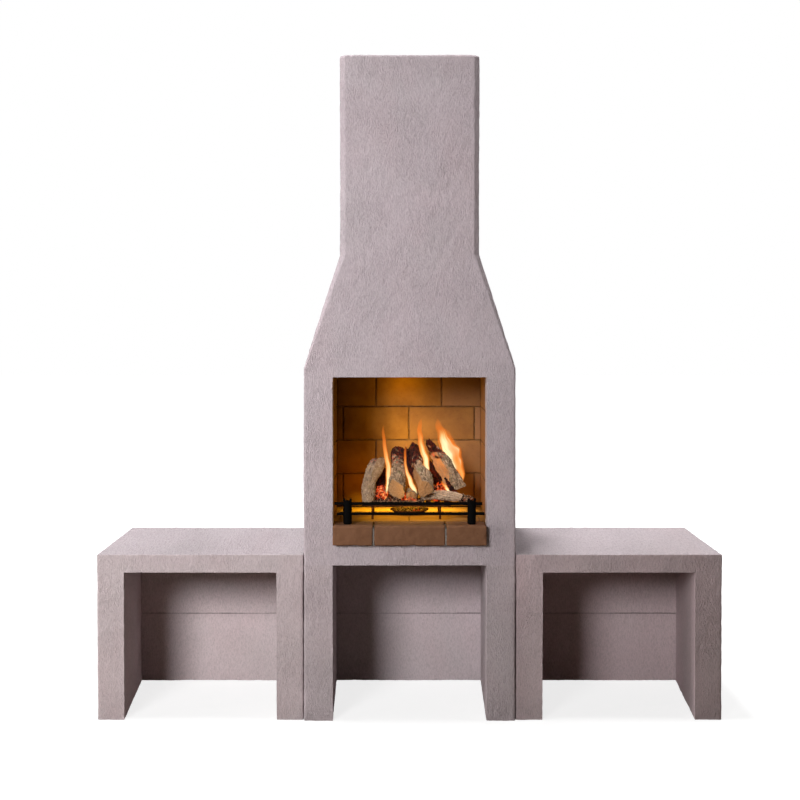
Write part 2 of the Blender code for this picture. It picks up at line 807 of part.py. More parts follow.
def fire():
    laid = [ember_bed()]
    for name, shares in log_shares.items():
        made = firewood(name, shares)
        settle(made, laid)
        laid.append(made)


def fireplace():
    clear_scene()
    centre_base()
    firebox_shell()
    hood_and_chimney()
    bench("left_bench", -body_width / 2 - seat_gap - bench_width)
    bench("right_bench", body_width / 2 + seat_gap)
    hearth_and_floor()
    back_wall()
    side_linings()
    log_guard()
    log_grate()
    ash_dish()
    fire()


fireplace()
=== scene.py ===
import math
import bpy
import numpy as np
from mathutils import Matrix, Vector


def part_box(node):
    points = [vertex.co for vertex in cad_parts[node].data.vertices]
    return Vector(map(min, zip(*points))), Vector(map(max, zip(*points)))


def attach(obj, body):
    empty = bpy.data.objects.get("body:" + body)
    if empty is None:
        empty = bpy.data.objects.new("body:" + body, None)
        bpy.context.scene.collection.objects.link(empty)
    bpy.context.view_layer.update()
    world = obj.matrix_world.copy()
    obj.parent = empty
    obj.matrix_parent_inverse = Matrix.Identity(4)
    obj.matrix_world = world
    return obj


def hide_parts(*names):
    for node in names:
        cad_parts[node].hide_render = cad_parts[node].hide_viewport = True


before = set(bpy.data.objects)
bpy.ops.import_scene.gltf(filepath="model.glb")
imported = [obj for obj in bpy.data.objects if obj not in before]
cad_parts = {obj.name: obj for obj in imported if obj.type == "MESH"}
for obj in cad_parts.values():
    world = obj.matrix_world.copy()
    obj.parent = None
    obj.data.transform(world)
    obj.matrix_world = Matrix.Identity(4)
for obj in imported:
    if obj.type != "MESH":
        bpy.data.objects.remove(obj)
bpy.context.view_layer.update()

scene = bpy.context.scene
print("fireplace: solids loaded")


def makeMesh(name, points, faces, material, sharp=None):
    # faces is one array of triangles or of quads, or a list of such arrays; edges over sharp degrees are crisp
    groups = faces if isinstance(faces, list) else [faces]
    loops = np.concatenate([group.ravel() for group in groups]).astype(np.int32)
    counts = np.concatenate([np.full(len(group), group.shape[1]) for group in groups])
    starts = np.concatenate([[0], np.cumsum(counts)[:-1]]).astype(np.int32)
    mesh = bpy.data.meshes.new(name)
    mesh.vertices.add(len(points))
    mesh.vertices.foreach_set("co", np.asarray(points, np.float32).ravel())
    mesh.loops.add(len(loops))
    mesh.loops.foreach_set("vertex_index", loops)
    mesh.polygons.add(len(starts))
    mesh.polygons.foreach_set("loop_start", starts)
    mesh.update(calc_edges=True)
    mesh.shade_smooth()
    if sharp:
        mesh.set_sharp_from_angle(angle=math.radians(sharp))
    mesh.materials.append(material)
    made = bpy.data.objects.new(name, mesh)
    scene.collection.objects.link(made)
    return made


def keepValue(made, name, values, kind="FLOAT"):
    attribute = made.data.attributes.new(name, kind, "POINT")
    field = "vector" if kind == "FLOAT_VECTOR" else "value"
    attribute.data.foreach_set(field, np.asarray(values, np.float32).ravel())


def putInPlace(made, node=None):
    # the piece stands with the fireplace, and takes the place of its CAD node if it has one
    if node:
        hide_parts(node)
    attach(made, "fireplace")


def vectorsOf(items, name):
    # the places ("co") of a mesh's vertices, or the normals of its vertices or faces, one row each
    values = np.empty(len(items) * 3, np.float32)
    items.foreach_get(name, values)
    return values.reshape(-1, 3).astype(float)


def unevenness(points, size, seed, stretch=(1, 1, 1), count=24):
    # the sum of some plane waves in random directions, each about size long, scaled to a spread of 1
    chance = np.random.default_rng(seed)
    ways = chance.normal(size=(count, 3))
    ways /= np.linalg.norm(ways, axis=1)[:, None]
    waves = 2 * np.pi * ways / (size * chance.uniform(0.7, 1.5, count))[:, None] / np.array(stretch)
    phases = chance.uniform(0, 2 * np.pi, count)
    total = np.zeros(len(points))
    for wave, phase in zip(waves, phases):
        total += np.sin(points @ wave + phase)
    return total / math.sqrt(count / 2)


def smoothStep(values, low, high):
    share = np.clip((values - low) / (high - low), 0, 1)
    return share * share * (3 - 2 * share)


def gridFaces(rows, columns, first=0, aroundRows=False, aroundColumns=False):
    # quads between the points of a grid; a grid that closes on itself gets one more row or column
    rowCount = rows if aroundRows else rows - 1
    columnCount = columns if aroundColumns else columns - 1
    i, j = np.meshgrid(np.arange(rowCount), np.arange(columnCount), indexing="ij")
    nextI, nextJ = (i + 1) % rows, (j + 1) % columns
    corners = [i * columns + j, i * columns + nextJ, nextI * columns + nextJ, nextI * columns + j]
    return np.stack([corner.ravel() for corner in corners], axis=1) + first


def joinSurfaces(surfaces):
    points, faces, first = [], [], 0
    for surfacePoints, surfaceFaces in surfaces:
        points.append(surfacePoints)
        faces.append(surfaceFaces + first)
        first += len(surfacePoints)
    return np.concatenate(points), np.concatenate(faces)


def placesAlong(low, high, roundLow, roundHigh, cell, lines=()):
    # close together over a rounded edge, even cells between, and one on each asked line
    bend = 1 - np.tan(np.radians([0, 15, 30, 45]))
    count = max(1, int(np.ceil((high - low - roundLow - roundHigh) / cell)))
    inner = np.linspace(low + roundLow, high - roundHigh, count + 1)
    places = np.concatenate([low + roundLow * bend, inner, high - roundHigh * bend, np.array(lines, float)])
    return np.unique(np.round(places, 6))


def blockSurface(low, high, rounding, cell, lines=()):
    # The surface of a box as six grids, joined along its edges. rounding is a radius, or one for the low
    # and high side of each axis; lines are extra depths (y) with a row of points. A point is moved from
    # the box's corner onto the ellipsoid round the nearest point of the inner box: inner point + radius x
    # direction x its largest component.
    low, high = np.array(low, float), np.array(high, float)
    radii = np.zeros((3, 2)) + np.asarray(rounding, float)
    sides = [placesAlong(low[a], high[a], *radii[a], cell, lines if a == 1 else ()) for a in range(3)]
    surfaces = []
    for a in range(3):
        b, c = (a + 1) % 3, (a + 2) % 3
        across, along = np.meshgrid(sides[b], sides[c], indexing="ij")
        faces = gridFaces(len(sides[b]), len(sides[c]))
        for height, turned in ((high[a], faces[:, ::-1]), (low[a], faces)):
            points = np.empty((across.size, 3))
            points[:, a] = height
            points[:, b] = across.ravel()
            points[:, c] = along.ravel()
            surfaces.append((points, turned))
    points, faces = joinSurfaces(surfaces)
    same = np.round(points * 1e6).astype(np.int64)
    _, kept, joined = np.unique(same, axis=0, return_index=True, return_inverse=True)
    points, faces = points[kept], joined.ravel()[faces]
    inner = np.clip(points, low + radii[:, 0], high - radii[:, 1])
    offset = points - inner
    radius = np.where(offset < 0, radii[:, 0], radii[:, 1])
    share = np.divide(offset, radius, out=np.zeros_like(offset), where=radius > 0)
    length = np.linalg.norm(share, axis=1)
    scale = np.divide(np.abs(share).max(axis=1), length, out=np.ones_like(length), where=length > 0)
    return inner + offset * scale[:, None], faces


def roundedSides(**radii):
    # the edge radius on each named side of a block, none on the others
    places = {"left": (0, 0), "right": (0, 1), "front": (1, 0), "rear": (1, 1), "foot": (2, 0), "top": (2, 1)}
    rounding = np.zeros((3, 2))
    for side, radius in radii.items():
        rounding[places[side]] = radius
    return rounding


class Wiring:
    # short calls for making and joining nodes in one tree
    def __init__(self, tree):
        self.tree = tree

    def join(self, source, target):
        self.tree.links.new(source, target)

    def fill(self, socket, value):
        # links a socket, or sets it to a number, a colour or a vector
        if isinstance(value, bpy.types.NodeSocket):
            self.join(value, socket)
        elif socket.type == "RGBA" and len(value) == 3:
            socket.default_value = (*value, 1.0)
        else:
            socket.default_value = value

    def add(self, kind, settings=None, **inputs):
        made = self.tree.nodes.new("ShaderNode" + kind)
        for key, value in (settings or {}).items():
            setattr(made, key, value)
        for key, value in inputs.items():
            numbered = key[0] == "i" and key[1:].isdigit()
            self.fill(made.inputs[int(key[1:]) if numbered else key.replace("_", " ")], value)
        return made

    def value(self, name, output="Fac"):
        # a value that keepValue gave the mesh
        return self.add("Attribute", dict(attribute_name=name)).outputs[output]

    def place(self):
        return self.add("TexCoord").outputs["Object"]

    def noise(self, vector, scale, detail=3.0, roughness=0.5, distortion=0.0):
        made = self.add("TexNoise", Vector=vector, Scale=scale, Detail=detail, Roughness=roughness,
                        Distortion=distortion)
        return made.outputs["Fac"]

    def spots(self, vector, scale, feature="F1"):
        return self.add("TexVoronoi", dict(feature=feature), Vector=vector, Scale=scale).outputs["Distance"]

    def scaled(self, vector, factors):
        return self.add("Mapping", Vector=vector, Scale=factors).outputs["Vector"]

    def calc(self, operation, a, b, clamp=False):
        return self.add("Math", dict(operation=operation, use_clamp=clamp), i0=a, i1=b).outputs["Value"]

    def plus(self, a, b):
        return self.calc("ADD", a, b)

    def times(self, a, b):
        return self.calc("MULTIPLY", a, b)

    def oneLess(self, value):
        return self.calc("SUBTRACT", 1.0, value)

    def between(self, value, low, high, start=0.0, end=1.0):
        # start at the low value, end at the high one and straight between
        made = self.add("MapRange", dict(clamp=True), Value=value, From_Min=low, From_Max=high, To_Min=start,
                        To_Max=end)
        return made.outputs["Result"]

    def patchy(self, vector, scale, detail, roughness, low, high, start=0.0, end=1.0):
        # noise that goes from start to end between two of its levels
        return self.between(self.noise(vector, scale, detail, roughness), low, high, start, end)

    def grey(self, value):
        return self.add("CombineColor", i0=value, i1=value, i2=value).outputs[0]

    def mix(self, share, a, b, kind="MIX"):
        made = self.add("Mix", dict(data_type="RGBA", blend_type=kind, clamp_factor=True), i0=share, i6=a, i7=b)
        return made.outputs[2]

    def layered(self, colour, *layers):
        # each layer is the share of it that shows, and its colour
        for share, layer in layers:
            colour = self.mix(share, colour, layer)
        return colour

    def surface(self, colour, height, strength, distance):
        # the colour and a relief for the material's shader
        shader = self.tree.nodes["Principled BSDF"]
        self.join(colour, shader.inputs["Base Color"])
        bump = self.add("Bump", Height=height, Strength=strength, Distance=distance)
        self.join(bump.outputs["Normal"], shader.inputs["Normal"])


def newMaterial(name, roughness, shine):
    made = bpy.data.materials.new(name)
    made.use_nodes = True
    shader = made.node_tree.nodes["Principled BSDF"]
    shader.inputs["Specular IOR Level"].default_value = shine
    shader.inputs["Roughness"].default_value = roughness
    return made, Wiring(made.node_tree), shader


def newEffect(name, takes, gives):
    # a node group with named sockets, for an effect that several materials share
    group = bpy.data.node_groups.new(name, "ShaderNodeTree")
    for way, sockets in (("INPUT", takes), ("OUTPUT", gives)):
        for kind, labels in sockets.items():
            for label in labels:
                group.interface.new_socket(name=label, in_out=way, socket_type="NodeSocket" + kind)
    given = group.nodes.new("NodeGroupInput").outputs
    result = group.nodes.new("NodeGroupOutput").inputs
    return group, Wiring(group), given, result


colourAndHeight = {"Color": ("Colour",), "Float": ("Height",)}


def placeEffect(wiring, group, values):
    # puts the group in a material with its own values
    made = wiring.add("Group", dict(node_tree=group))
    for label, value in values.items():
        wiring.fill(made.inputs[label], value)
    return made.outputs["Colour"], made.outputs["Height"]


plasterLook = {
    "mauve": (0.462, 0.388, 0.418),
    "grey": (0.448, 0.387, 0.411),
    "pink": (0.482, 0.384, 0.410),
    "roughness": 0.95,
    "shine": 0.2,
    "stippleScale": 262.0,
    "stippleStrength": 1.0,
    "stippleDepth": 0.0052,
    "topSpacing": (0.7, 0.15, 1.0),  # the stipple is drawn out backwards on the bench tops
}
# each part's tint is painted light and shade: it sets how bright the part comes out under the lamps, with the base
# darker and the benches lighter
plasterTints = {
    "stack": (1.0, 1.0, 1.0),
    "base": (0.95, 0.95, 0.93),
    "right_bench": (1.15, 1.075, 1.045),
    "left_bench": (1.06, 1.045, 1.005),
    # the bench tops are tinted apart from their fronts, mostly darker: painted shade
    "right_bench_top": (1.033, 1.064, 1.045),
    "left_bench_top": (0.930, 0.955, 0.940),
}
# painted light: how much paler the stores' inner faces are made, standing in for light that the lamps don't bring in
paintedLightInside = {"base": 1.36, "right_bench": 1.25, "left_bench": 1.35}
# how strong the stipple is in each place
plasterRelief = {"stack": 1.0, "base": 1.1, "right_bench": 1.3, "left_bench": 1.0, "inside": 0.6, "top": 1.6}


def plasterEffect():
    # blotches of three tints; height is a stipple drawn out upwards, with finer grains and a few pinholes; the
    # stipple's low parts get painted shade and its highs a little painted light
    takes = {"Vector": ("Place",), "Color": ("Mauve", "Grey", "Pink"), "Float": ("Stipple Scale",)}
    group, wiring, given, result = newEffect("worked plaster", takes, colourAndHeight)
    place = given["Place"]
    stipple = wiring.noise(wiring.scaled(place, (1.15, 1.0, 0.38)), given["Stipple Scale"], 2.0, 0.55, 0.7)
    coarse = wiring.noise(wiring.scaled(place, (1.0, 1.0, 0.5)), 62, 2.0, 0.5, 0.4)
    grains = wiring.noise(place, 480, 1.0, 0.5)
    worked = wiring.patchy(place, 8, 2.0, 0.5, 0.35, 0.65, 0.45, 1.0)
    height = wiring.plus(wiring.times(stipple, worked), wiring.times(coarse, 0.34))
    height = wiring.plus(height, wiring.times(grains, 0.16))
    holes = wiring.between(wiring.spots(place, 38), 0.02, 0.07, -0.9, 0.0)
    rare = wiring.patchy(place, 11, 1.0, 0.5, 0.60, 0.68)
    wiring.join(wiring.plus(height, wiring.times(holes, rare)), result["Height"])
    patches = wiring.patchy(place, 3.2, 3.0, 0.6, 0.38, 0.64)
    blush = wiring.times(wiring.patchy(wiring.scaled(place, (1.0, 1.0, 0.6)), 5.0, 3.0, 0.55, 0.46, 0.70), 0.5)
    colour = wiring.layered(given["Mauve"], (patches, given["Grey"]), (blush, given["Pink"]))
    # painted shade: the stipple's low parts are darker, its highs a little lighter
    pitShade = wiring.grey(wiring.between(stipple, 0.32, 0.60, 0.84, 1.05))  # darker in the low parts
    wiring.join(wiring.mix(1.0, colour, pitShade, "MULTIPLY"), result["Colour"])
    return group


workedPlaster = plasterEffect()


def plasterMaterial(name, tint, relief, spacing=None):
    look = plasterLook
    made, wiring, _ = newMaterial(name, look["roughness"], look["shine"])
    place = wiring.scaled(wiring.place(), spacing) if spacing else wiring.place()
    values = {"Place": place, "Stipple Scale": look["stippleScale"]}
    for key in ("mauve", "grey", "pink"):
        values[key.capitalize()] = tuple(value * factor for value, factor in zip(look[key], tint))
    colour, height = placeEffect(wiring, workedPlaster, values)
    wiring.surface(colour, height, look["stippleStrength"], look["stippleDepth"] * relief)
    return made


def mixPlasters():
    made = {}
    for part in ("stack", "base", "right_bench", "left_bench"):
        tint, relief, label = plasterTints[part], plasterRelief[part], part.replace("_", " ")
        made[part] = plasterMaterial("plaster, " + label, tint, relief)
        if part in paintedLightInside:
            # painted light: a paler copy of the plaster for the stores' inner faces
            paintedLighter = tuple(value * paintedLightInside[part] for value in tint)
            made[part + "_inside"] = plasterMaterial("plaster, painted light inside " + label, paintedLighter, plasterRelief["inside"])
        # painted shade: a darker copy of the plaster for the bench tops
        if part + "_top" in plasterTints:
            made[part + "_top"] = plasterMaterial("plaster, painted shade on top of " + label, plasterTints[part + "_top"],
                                                  plasterRelief["top"], plasterLook["topSpacing"])
    return made


plasters = mixPlasters()

brickLook = {
    "dark": (0.188, 0.078, 0.016),
    "tan": (0.265, 0.121, 0.026),
    # pink is what the tone mixes in, partly painted light
    "pink": (0.300, 0.160, 0.098),
    "hearthDark": (0.148, 0.067, 0.034),
    "hearthTan": (0.178, 0.083, 0.044),
    "fleck": (0.070, 0.035, 0.020),
    "sootyShade": (0.030, 0.012, 0.005),
    "roughness": 0.92,
    "shine": 0.15,
}


def brickEffect():
    # sandy firebrick: a blotchy tan, dark flecks and a fine sandy relief; tone makes a brick pinker,
    # which is partly painted light, and soot with painted shade lies on it in soft clouds
    takes = {"Vector": ("Place",), "Color": ("Dark", "Tan", "Pink", "Fleck", "SootyShade"), "Float": ("ToneAndPaintedLight", "SootAndShade")}
    group, wiring, given, result = newEffect("sandy firebrick", takes, colourAndHeight)
    place = given["Place"]
    blotches = wiring.patchy(place, 14, 4.0, 0.6, 0.35, 0.66)
    flecks = wiring.between(wiring.spots(place, 300), 0.10, 0.30, 1.0, 0.0)
    flecks = wiring.times(flecks, wiring.patchy(place, 160, 1.0, 0.5, 0.55, 0.62))
    # soot and painted shade, in soft clouds
    sootAndShade = wiring.times(given["SootAndShade"], wiring.patchy(place, 9, 3.0, 0.5, 0.3, 0.7, 0.75, 1.25))
    colour = wiring.layered(given["Dark"], (blotches, given["Tan"]), (given["ToneAndPaintedLight"], given["Pink"]),
                            (flecks, given["Fleck"]), (sootAndShade, given["SootyShade"]))
    wiring.join(colour, result["Colour"])
    sand = wiring.noise(place, 520, 2.0, 0.7)
    wear = wiring.noise(place, 60, 4.0, 0.65)
    wiring.join(wiring.plus(wiring.times(sand, 0.35), wear), result["Height"])
    return group


sandyBrick = brickEffect()


def brickMaterial(name, dark, tan):
    look = brickLook
    made, wiring, _ = newMaterial(name, look["roughness"], look["shine"])
    values = {"Place": wiring.place(), "ToneAndPaintedLight": wiring.value("toneAndPaintedLight"), "SootAndShade": wiring.value("sootAndShade"),
              "Dark": look[dark], "Tan": look[tan], "Pink": look["pink"], "Fleck": look["fleck"],
              "SootyShade": look["sootyShade"]}
    wiring.surface(*placeEffect(wiring, sandyBrick, values), 0.5, 0.0020)
    return made


def gritEffect():
    # two colours in patches, and a height of fine grit over coarser lumps
    takes = {"Vector": ("Place",), "Color": ("First", "Second"),
             "Float": ("Second Share", "Patch Scale", "Fine Scale", "Coarse Scale")}
    group, wiring, given, result = newEffect("grit", takes, colourAndHeight)
    place = given["Place"]
    patches = wiring.patchy(place, given["Patch Scale"], 4.0, 0.6, 0.40, 0.66)
    share = wiring.times(patches, given["Second Share"])
    wiring.join(wiring.mix(share, given["First"], given["Second"]), result["Colour"])
    fine = wiring.noise(place, given["Fine Scale"], 2.0, 0.65)
    coarse = wiring.noise(place, given["Coarse Scale"], 2.0)
    wiring.join(wiring.plus(fine, wiring.times(coarse, 0.6)), result["Height"])
    return group


grit = gritEffect()

# each gritty material: roughness, shine, its two colours and the second one's share, the scales of its
# patches, fine and coarse grit, and the strength and depth of its relief
mortarGrit = {"roughness": 0.95, "shine": 0.1, "share": 1.0, "scales": (55.0, 380.0, 120.0), "relief": (0.6, 0.0015)}
ironGrit = {"scales": (70.0, 650.0, 140.0), "relief": (0.35, 0.0006)}
rustColour = (0.120, 0.040, 0.014)
gritLooks = {
    "mortar, smoked": {**mortarGrit, "colours": ((0.135, 0.066, 0.026), (0.235, 0.125, 0.052))},
    "mortar, pale": {**mortarGrit, "colours": ((0.165, 0.140, 0.124), (0.275, 0.242, 0.222))},
    "stove black": {**ironGrit, "roughness": 0.72, "shine": 0.02, "share": 0.0,
                    "colours": ((0.0022, 0.0020, 0.0020), rustColour)},
    "burnt iron": {**ironGrit, "roughness": 0.85, "shine": 0.03, "share": 0.85,
                   "colours": ((0.034, 0.015, 0.008), rustColour)},
}


def gritMaterial(name):
    look = gritLooks[name]
    made, wiring, _ = newMaterial(name, look["roughness"], look["shine"])
    values = {"Place": wiring.place(), "Second Share": look["share"]}
    values.update(zip(("First", "Second"), look["colours"]))
    values.update(zip(("Patch Scale", "Fine Scale", "Coarse Scale"), look["scales"]))
    wiring.surface(*placeEffect(wiring, grit, values), *look["relief"])
    return made


firebrick = brickMaterial("firebrick", "dark", "tan")
hearthBrick = brickMaterial("firebrick, hearth", "hearthDark", "hearthTan")
mortar, paleMortar, blackIron, burntIron = (gritMaterial(name) for name in gritLooks)
print("fireplace: materials made")


castingSizes = {
    "cell": 0.006,  # size of the plaster's grid
    "relief": 0.0011,  # how deep the hand-worked surface goes in
    "swell": 0.0012,
    "depths": (0.00005, 0.004),  # the least and the most that it lies under the casting's face
    "cornerRadius": 0.008,
    "jointClosing": 0.0003,  # plaster closes the gap between castings
    "crisp": 42,  # degrees
    "facing": 0.75,  # the share of a face's normal that counts as looking in a direction
}


def plasterDepth(points):
    # how far the plaster lies under the casting's face: long swells, hand-sized hollows and a stipple
    swell = unevenness(points, 0.32, 3, (1, 1, 1.3))
    hollows = unevenness(points, 0.055, 5, (1, 1, 1.4))
    stipple = unevenness(points, 0.021, 9, (1, 1, 1.8), 40)
    depth = castingSizes["swell"] * (0.5 + 0.28 * swell)
    depth += castingSizes["relief"] * (0.5 + 0.17 * hollows + 0.26 * stipple)
    return np.clip(depth, *castingSizes["depths"])


def workPlaster(made, heldLevels):
    # moves each point in along its normal; at a held level it stays level, so joints stay closed
    vertices = made.data.vertices
    points, normals = vectorsOf(vertices, "co"), vectorsOf(vertices, "normal")
    for level in heldLevels:
        normals[np.abs(points[:, 2] - level) < 1e-5, 2] = 0
    lengths = np.linalg.norm(normals, axis=1)[:, None]
    normals = np.divide(normals, lengths, out=np.zeros_like(normals), where=lengths > 1e-6)
    worked = np.clip(points - normals * plasterDepth(points)[:, None], points.min(axis=0), points.max(axis=0))
    vertices.foreach_set("co", worked.astype(np.float32).ravel())
    made.data.update()
    made.data.set_sharp_from_angle(angle=math.radians(castingSizes["crisp"]))


def paintSide(made, material, towards):
    # the faces that look in this direction get another plaster
    made.data.materials.append(material)
    chosen = vectorsOf(made.data.polygons, "normal") @ np.array(towards, float) > castingSizes["facing"]
    made.data.polygons.foreach_set("material_index", chosen.astype(np.int32))


def casting(node, rounding, footHeld=False, topClosed=False, lines=(), reshape=None):
    # One block-shaped casting in its CAD node's place. A held foot, and a top that closes a joint, stay level.
    low, high = (list(corner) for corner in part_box(node))
    heldLevels = [low[2]] if footHeld else []
    if topClosed:
        high[2] += castingSizes["jointClosing"]
        heldLevels.append(high[2])
    points, faces = blockSurface(low, high, rounding, castingSizes["cell"], lines)
    if reshape:
        points = reshape(points)
    part = next((name for name in ("left_bench", "right_bench", "base") if node.startswith(name)), "stack")
    made = makeMesh(node + "_plastered", points, faces, plasters[part])
    workPlaster(made, heldLevels)
    putInPlace(made, node)
    return made


wallSizes = {
    "shoulder": 0.2245,  # where the back panels start
    "step": 0.0002,
    "rebate": 0.020,
    "baseWalls": (0.0955, 0.085),  # at the front, at the panels
    "benchLegs": (0.090, 0.053),
    "jamb": 0.0955,
    "jambBack": -0.2045,
    "shell": 0.053,
    "panelArris": 0.0004,
}
benchTopRadii = {"left": 0.006, "right": 0.006, "front": 0.0035, "rear": 0.0035, "top": 0.0035}


def standWall(node, outerSide, front, stations, footHeld=False):
    # a wall's thickness, measured from its outer side, starts with the front's, follows stations of depth
    # and thickness, and stays as the last one up to the rear
    low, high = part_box(node)
    outer = low[0] if outerSide == "left" else high[0]
    depths, thicknesses = np.array([(low[1], front), *stations, (high[1], stations[-1][1])]).T

    def thinned(points):
        thickness = np.interp(points[:, 1], depths, thicknesses)
        points[:, 0] = outer + (points[:, 0] - outer) * thickness / front
        return points

    corner = castingSizes["cornerRadius"]
    rounding = roundedSides(**{outerSide: corner, "front": corner})
    return casting(node, rounding, footHeld, True, [depth for depth, _ in stations], thinned)


def rebated(thickness):
    # the last stations of a wall, where the back panels lie in its rebate
    shoulder = wallSizes["shoulder"]
    return [(shoulder, thickness), (shoulder + wallSizes["step"], thickness - wallSizes["rebate"])]


def woodStore(prefix, wall, thicknesses):
    front, rear = thicknesses
    # the inner faces get the paler copy: painted light
    inside = plasters[prefix + "_inside"]
    for side, towards in (("left", (1, 0, 0)), ("right", (-1, 0, 0))):
        paintSide(standWall(f"{prefix}_{side}_{wall}", side, front, rebated(rear)), inside, towards)
    arris = wallSizes["panelArris"]
    for part, joint in (("lower", "top"), ("upper", "foot")):
        rounding = roundedSides(**{"front": arris, "rear": arris, joint: arris})
        paintSide(casting(f"{prefix}_back_{part}", rounding), inside, (0, -1, 0))


def plasterBlocks():
    sizes, corner = wallSizes, castingSizes["cornerRadius"]
    woodStore("base", "wall", sizes["baseWalls"])
    for bench in ("left_bench", "right_bench"):
        woodStore(bench, "leg", sizes["benchLegs"])
        top = casting(bench + "_top", roundedSides(**benchTopRadii), True)
        # the top faces get the darker copy: painted shade
        paintSide(top, plasters[bench + "_top"], (0, 0, 1))
    casting("hearth_slab", roundedSides(left=corner, right=corner, front=corner, rear=corner), True, True)
    jamb, jambBack, shell = sizes["jamb"], sizes["jambBack"], sizes["shell"]
    stations = [(jambBack, jamb), (jambBack + sizes["step"], shell)] + rebated(shell)
    for side in ("left", "right"):
        standWall(f"firebox_{side}_wall", side, jamb, stations, True)
    casting("firebox_back_wall", roundedSides(), True, True)


plasterBlocks()
print("fireplace: block castings plastered")

stackSizes = {
    "front": -0.2905,
    "bodyHalf": 0.345,
    "bodyRear": 0.3195,
    "opening": 1.120,
    "shoulder": 1.150,
    "hoodTop": 1.518,
    "top": 2.163,
    "chimneyHalf": 0.227,
    "chimneyRear": 0.1635,
    "wall": 0.077,
    "throatHalf": 0.256,
    "throatFront": -0.1955,
    "throatRear": 0.1565,
    "bodyRadius": 0.008,
    "chimneyRadius": 0.022,
    "flueRadius": 0.012,
    "topArris": 0.009,
    "rim": (0.018, 0.070),  # how far in the flat rim's first and last loop lie
}
# the level of each casting's upper joint
stackJoints = {
    "hood_lower": 1.319,
    "hood_upper": stackSizes["hoodTop"],
    "chimney_block_lower": 1.8405,
    "chimney_block_upper": stackSizes["top"],
}


def loopTemplate(straight, corner):
    # a rectangle once round, with bevelled corners: the share of the way across and back of each point's
    # corner centre, and the direction in which the corner radius carries it
    shares = np.linspace(0, 1, straight + 1)[:-1, None]
    flat = np.linspace(0, 1, corner + 1)[:, None]
    first, last = (np.array([[math.cos(turn), math.sin(turn)]]) for turn in np.radians((14, 76)))
    lead = 0.12  # radians between a side's end and the next point of the corner
    way = np.concatenate([[(1, 0), (math.cos(lead), math.sin(lead))], first * (1 - flat) + last * flat,
                          [(math.sin(lead), math.cos(lead))]])
    corners = ((0, 0), (1, 0), (1, 1), (0, 1), (0, 0))
    pieces = []
    for number, (start, end) in enumerate(zip(corners, corners[1:])):
        facing = number * np.pi / 2 - np.pi / 2
        cos, sin = math.cos(facing), math.sin(facing)
        side = np.array(start) * (1 - shares) + np.array(end) * shares
        pieces.append(np.hstack([side, np.full((straight, 1), cos), np.full((straight, 1), sin)]))
        turned = way @ np.array([[cos, sin], [-sin, cos]])
        pieces.append(np.column_stack([np.full(len(way), end[0]), np.full(len(way), end[1]), turned]))
    return np.vstack(pieces)


def loopStack(template, z, x0, x1, y0, y1, radius):
    # one rounded rectangle for each height; all arguments but the template are arrays of one length
    wx, wy, nx, ny = (column[None, :] for column in template.T)
    z, x0, x1, y0, y1, radius = (np.asarray(value, float)[:, None] for value in (z, x0, x1, y0, y1, radius))
    x = (x0 + radius) * (1 - wx) + (x1 - radius) * wx + radius * nx
    y = (y0 + radius) * (1 - wy) + (y1 - radius) * wy + radius * ny
    return np.stack([x, y, np.broadcast_to(z, x.shape)], axis=-1)


def outerStack(z):
    # straight up to the shoulder, then each measure goes evenly from the body's to the chimney's
    sizes = stackSizes
    share = np.clip((z - sizes["shoulder"]) / (sizes["hoodTop"] - sizes["shoulder"]), 0, 1)
    half = sizes["bodyHalf"] + (sizes["chimneyHalf"] - sizes["bodyHalf"]) * share
    rear = sizes["bodyRear"] + (sizes["chimneyRear"] - sizes["bodyRear"]) * share
    radius = sizes["bodyRadius"] + (sizes["chimneyRadius"] - sizes["bodyRadius"]) * share
    return -half, half, np.full_like(z, sizes["front"]), rear, radius


def innerStack(z):
    # from the throat over the fire opening evenly to the flue
    sizes, wall = stackSizes, stackSizes["wall"]
    share = np.clip((z - sizes["opening"]) / (sizes["hoodTop"] - sizes["opening"]), 0, 1)
    half = sizes["throatHalf"] + (sizes["chimneyHalf"] - wall - sizes["throatHalf"]) * share
    front = sizes["throatFront"] + (sizes["front"] + wall - sizes["throatFront"]) * share
    rear = sizes["throatRear"] + (sizes["chimneyRear"] - wall - sizes["throatRear"]) * share
    return -half, half, front, rear, np.full_like(z, sizes["flueRadius"])


